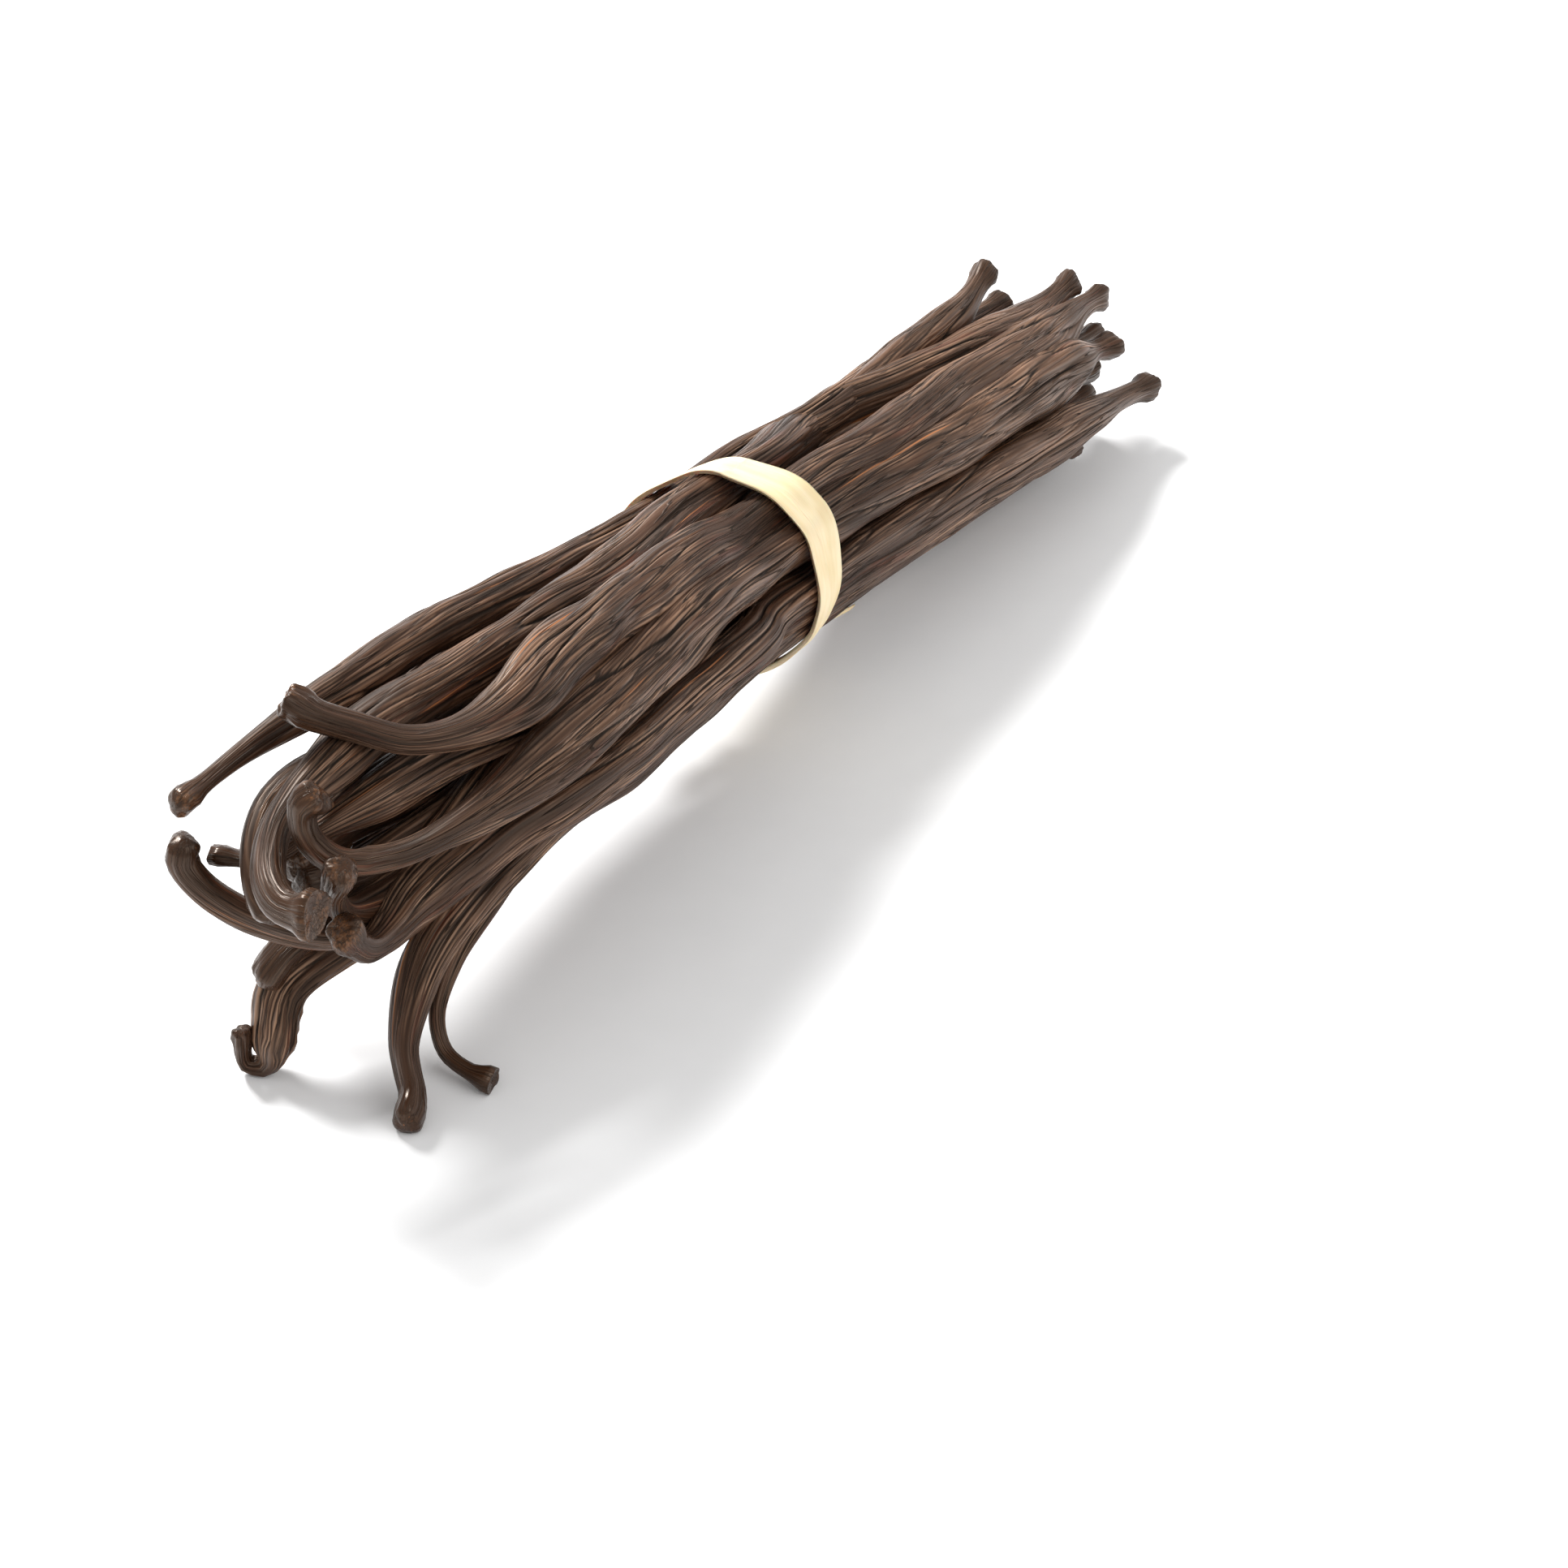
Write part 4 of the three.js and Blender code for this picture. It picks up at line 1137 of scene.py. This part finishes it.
def ribbon(surface, count, closed):
    """A thin closed skin. surface(t, v, side) gives a point, t along it and v across, -1 to 1."""
    v = np.linspace(-1, 1, STRIP_ACROSS)
    edge = np.sqrt(np.clip(1 - v**EDGE_SQUARENESS, 0, 1))
    loop_v = np.concatenate([v, v[::-1]])
    loop_side = np.concatenate([edge, -edge])
    t = np.linspace(0, 1, count, endpoint=not closed)[:, None]
    grid_t, grid_v, grid_side = np.broadcast_arrays(t, loop_v[None, :], loop_side[None, :])
    points = surface(grid_t, grid_v, grid_side).reshape(-1, 3)
    around = len(loop_v)
    if closed:
        return points, grid_faces(count + 1, around) % (count * around), [], grid_t, grid_v
    last = (count - 1) * around
    far = around - 1
    strip = range(STRIP_ACROSS - 1)
    ends = [(k + 1, k, far - k, far - k - 1) for k in strip]
    ends += [(last + k, last + k + 1, last + far - k - 1, last + far - k) for k in strip]
    return points, grid_faces(count, around), ends, grid_t, grid_v


print("raffia hoop about", 2 * BAND_RADIUS, "mm across,", BAND_THICK, "mm thick")

# %% [markdown]
# ## Dry raffia
#
# The leaf skin is straw white and a little shiny where it is flat. A darker yellow line is painted
# along its fold, as the shade of the folded edge, and it is darker yellow towards its edges. Light
# sinks into it slightly. Its fibres are about a quarter of a millimetre apart. Hair strands could
# stand for them, but they barely rise above the surface, so stretched noise in colour and bump is
# enough.

# %% Raffia material
FIBRES_PER_MM = 4.0
FIBRE_CHANGE_PER_MM = 0.09
BLOTCH_SCALE = (0.12, 0.5, 1.0)


def dry_raffia(tree):
    """Raffia ribbon, with fibres along it."""
    strip = stored(tree, "strip", "Vector")
    lengthwise = (FIBRE_CHANGE_PER_MM, FIBRES_PER_MM, 1.0)
    fibre_at = add_node(tree, "Mapping", {"Vector": strip, "Scale": lengthwise})
    fibre = add_node(tree, "TexNoise", {"Vector": fibre_at, "Scale": 1.0, "Detail": 3.0})
    blotch_at = add_node(tree, "Mapping", {"Vector": strip, "Scale": BLOTCH_SCALE})
    blotch = add_node(tree, "TexNoise", {"Vector": blotch_at, "Scale": 1.0, "Detail": 2.0})
    colour = coat(tree, linear("#e3cda0"), "#eedcb8", (blotch, 0.3, 0.7))
    colour = coat(tree, colour, "#e3c68c", (fibre, 0.52, 0.75, 0, 0.5))
    # Painted shade along the fold line, and darker towards the edges.
    colour = coat(tree, colour, "#b98a4c", (stored(tree, "crease"), 0.15, 0.9, 0, 0.85))
    return {
        "Base Color": colour,
        "Roughness": 0.55,
        "IOR": 1.5,
        "Subsurface Weight": 0.15,
        "Subsurface Scale": 0.0006,
        "Normal": add_node(tree, "Bump", {"Height": fibre, "Strength": 0.4, "Distance": 0.00008}),
    }


raffia = material_from("dry_raffia", dry_raffia)

# %% [markdown]
# ## The hoop
#
# The strip is widest where it lies flat over the pods and is gathered narrow at the knot. Its
# front edge is folded back, which shows as a step and a line of painted shade. All of that is
# written as a few values at turns round the hoop, eased in between.

# %% Raffia hoop
# Turns in degrees from the top, and the strip's width in mm there.
BAND_WIDTHS = [(-150, 3.0), (-70, 4.2), (-40, 5.4), (0, 6.4), (45, 7.6), (70, 7.0), (95, 5.4), (115, 3.6),
               (140, 2.6), (190, 2.4)]
# Turns, and where across the strip, from -1 to 1, its folded edge ends.
FOLD_PLACES = [(-70, -0.2), (10, -0.46), (50, -0.4), (90, -0.1), (190, 0.0)]
FOLD_LIFT = 0.4
FOLD_WANDER = 0.1
FOLD_STEP = 0.07
CREASE_WIDTH = 0.05
CREASE_OFFSET = 0.03
# Degrees round the hoop from one swell to the next.
SWELL_TURNS = dict(fold=50, waver=22, ripple=16, crease=12)
EASING_REACH = 12
WAVER = 0.035
CURL = 0.12
RIPPLE = 0.1
HOOP_STEPS = 360


def round_the_hoop(turn, stations):
    """A value given at a few turns, eased round the hoop."""
    turns, values = np.array(sorted((t % 360, value) for t, value in stations)).T
    window = np.arange(-EASING_REACH, EASING_REACH + 1, 3)
    return sum(np.interp(turn + w, turns, values, period=360) for w in window) / len(window)


def fold_line(turn):
    """Where across the strip its folded edge ends, not quite straight."""
    wander = FOLD_WANDER * noise_along(turn / SWELL_TURNS["fold"], 8)
    return round_the_hoop(turn, FOLD_PLACES) + wander


def hoop_surface(t, v, side):
    """The hoop, folded over along its front edge and gathered at the knot."""
    turn = 360 * t
    width = round_the_hoop(turn, BAND_WIDTHS)
    edges = np.stack([turn / SWELL_TURNS["waver"], 0 * t, 3 * np.sign(v)], axis=-1)
    waver = WAVER * noise(edges, 5)
    over = width / 2 * v * (1 + waver)
    folded = 1 - smooth((v - fold_line(turn)) / FOLD_STEP + 0.5)
    lift = side * BAND_THICK / 2
    lift = lift + np.where(side >= 0, FOLD_LIFT * folded, 0)
    curl = CURL * np.abs(v) ** 3
    ripples = np.stack([turn / SWELL_TURNS["ripple"], 1.2 * v, 0 * t], axis=-1)
    ripple = RIPPLE * (1 + noise(ripples, 6))
    return band_point(turn, over, lift + curl + ripple)


def fold_shade_of(grid_t, grid_v):
    """Painted shade along the fold line, and a little darker at the edges."""
    turn = 360 * grid_t
    line = near(grid_v - fold_line(turn) - CREASE_OFFSET, CREASE_WIDTH)
    patchy = 0.55 + 0.6 * noise_along(turn / SWELL_TURNS["crease"], 9)
    return line * np.clip(patchy, 0.1, 1) + 0.25 * np.abs(grid_v) ** 12


def finish_raffia(name, arrays, length_mm, width_mm, creases):
    """A raffia piece in place of the solid tie. Its fibres run along length_mm of strip."""
    points, quads, triangles, grid_t, grid_v = arrays
    strip = np.stack([grid_t * length_mm, grid_v * width_mm / 2, 0 * grid_t], axis=-1).reshape(-1, 3)
    attributes = {"strip": strip, "crease": creases.ravel()}
    piece = mesh_object(name, points, quads, triangles, attributes, raffia)
    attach(piece, "root")
    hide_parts("raffia_tie")
    return piece


hoop = ribbon(hoop_surface, HOOP_STEPS, True)
hoop_piece = finish_raffia("raffia_hoop", hoop, 2 * np.pi * BAND_RADIUS, BAND_WIDTH, fold_shade_of(*hoop[3:]))
print("hoop", len(hoop_piece.data.polygons), "faces")

# %% [markdown]
# ## Knot and tails
#
# The two ends cross in a flat overhand knot under the bundle and are cut short. A knot can be
# tied as a curve through its own loop, but this small one, in the shade, reads the same as the
# ribbon wound one and a half times round itself. Each tail leaves it with a sag and a twist.

# %% Knot
KNOT_TURN = 190
KNOT_LIFT = 1.4
KNOT_WINDS = 1.6
KNOT_COIL = 1.25
KNOT_SPREAD = 1.68
KNOT_STRIP = 1.1
KNOT_BULGE = 0.1
KNOT_CRUMPLE = 0.12
KNOT_STEPS = 90
KNOT_LENGTH = 25
KNOT_WIDTH = 2.6

knot_turn = np.radians(KNOT_TURN)
knot_out = np.array([0, -np.sin(knot_turn), np.cos(knot_turn)])
knot_along = np.array([1.0, 0, 0])
knot_round = np.cross(knot_out, knot_along)
knot_middle = band_point(np.array(KNOT_TURN), np.array(0.0), KNOT_LIFT)


def knot_surface(t, v, side):
    """The ribbon wound round the gathered band."""
    a = 2 * np.pi * KNOT_WINDS * t
    ring = knot_along * np.cos(a)[..., None] * KNOT_COIL + knot_out * np.sin(a)[..., None]
    shift = KNOT_SPREAD * (2 * t - 1) + KNOT_STRIP * v
    crumple = KNOT_CRUMPLE * noise(np.stack([t * 9, v, 0 * t], axis=-1), 14)
    radius = KNOT_COIL + side * BAND_THICK / 2 + KNOT_BULGE * np.cos(3 * v) + crumple
    return knot_middle + ring * radius[..., None] + knot_round * shift[..., None]


knot = ribbon(knot_surface, KNOT_STEPS, False)
finish_raffia("raffia_knot", knot, KNOT_LENGTH, KNOT_WIDTH, 0.3 * np.abs(knot[4]) ** 6)
print("knot at", np.round(knot_middle, 1), "mm")

# %% Tails
TAIL_WIDTH = 2.4
TAIL_LENGTH = 16
TAIL_ENDS = [(22, 9.8, 2.6), (-9, -5, 1.5)]
TAIL_TWISTS = (1.0, -0.7)
TAIL_SAG = 1
TAIL_RIPPLE = 0.35
TAIL_RIPPLES = 4
TAIL_SEED = 31
TAIL_NARROWING = 0.45
TAIL_CUT_FROM = 0.97
TAIL_CUT = 1.3
TAIL_CUP = 0.25
TAIL_STEPS = 40


def tail_surface_to(end, twist):
    """The surface of a tail that ends this far from the knot: along, towards -Y and up."""
    along_by, near_by, up_by = end
    stop = knot_middle + np.array([along_by, -near_by, up_by - along_by * np.tan(LEAN)])
    heading = unit(stop - knot_middle)
    flat = unit(np.cross(heading, upright))
    face = np.cross(flat, heading)

    def surface(t, v, side):
        sag = -TAIL_SAG * np.sin(np.pi * t)
        ripple = TAIL_RIPPLE * noise_along(t * TAIL_RIPPLES, TAIL_SEED + twist)
        centre = knot_middle + (stop - knot_middle) * t[..., None]
        centre = centre + face * (sag + ripple)[..., None]
        angle = twist * t**1.5
        across_strip = flat * np.cos(angle)[..., None] + face * np.sin(angle)[..., None]
        off_strip = face * np.cos(angle)[..., None] - flat * np.sin(angle)[..., None]
        half = TAIL_WIDTH * (1 - TAIL_NARROWING * t) / 2
        slant_cut = heading * (np.where(t > TAIL_CUT_FROM, TAIL_CUT, 0) * v)[..., None]
        lifted = side * BAND_THICK / 2 + TAIL_CUP * v**2
        return centre + across_strip * (half * v)[..., None] + off_strip * lifted[..., None] + slant_cut

    return surface


for label, end, twist in zip(("near", "far"), TAIL_ENDS, TAIL_TWISTS):
    tail = ribbon(tail_surface_to(end, twist), TAIL_STEPS, False)
    finish_raffia("raffia_tail_" + label, tail, TAIL_LENGTH, TAIL_WIDTH, 0.4 * tail[3] ** 8)
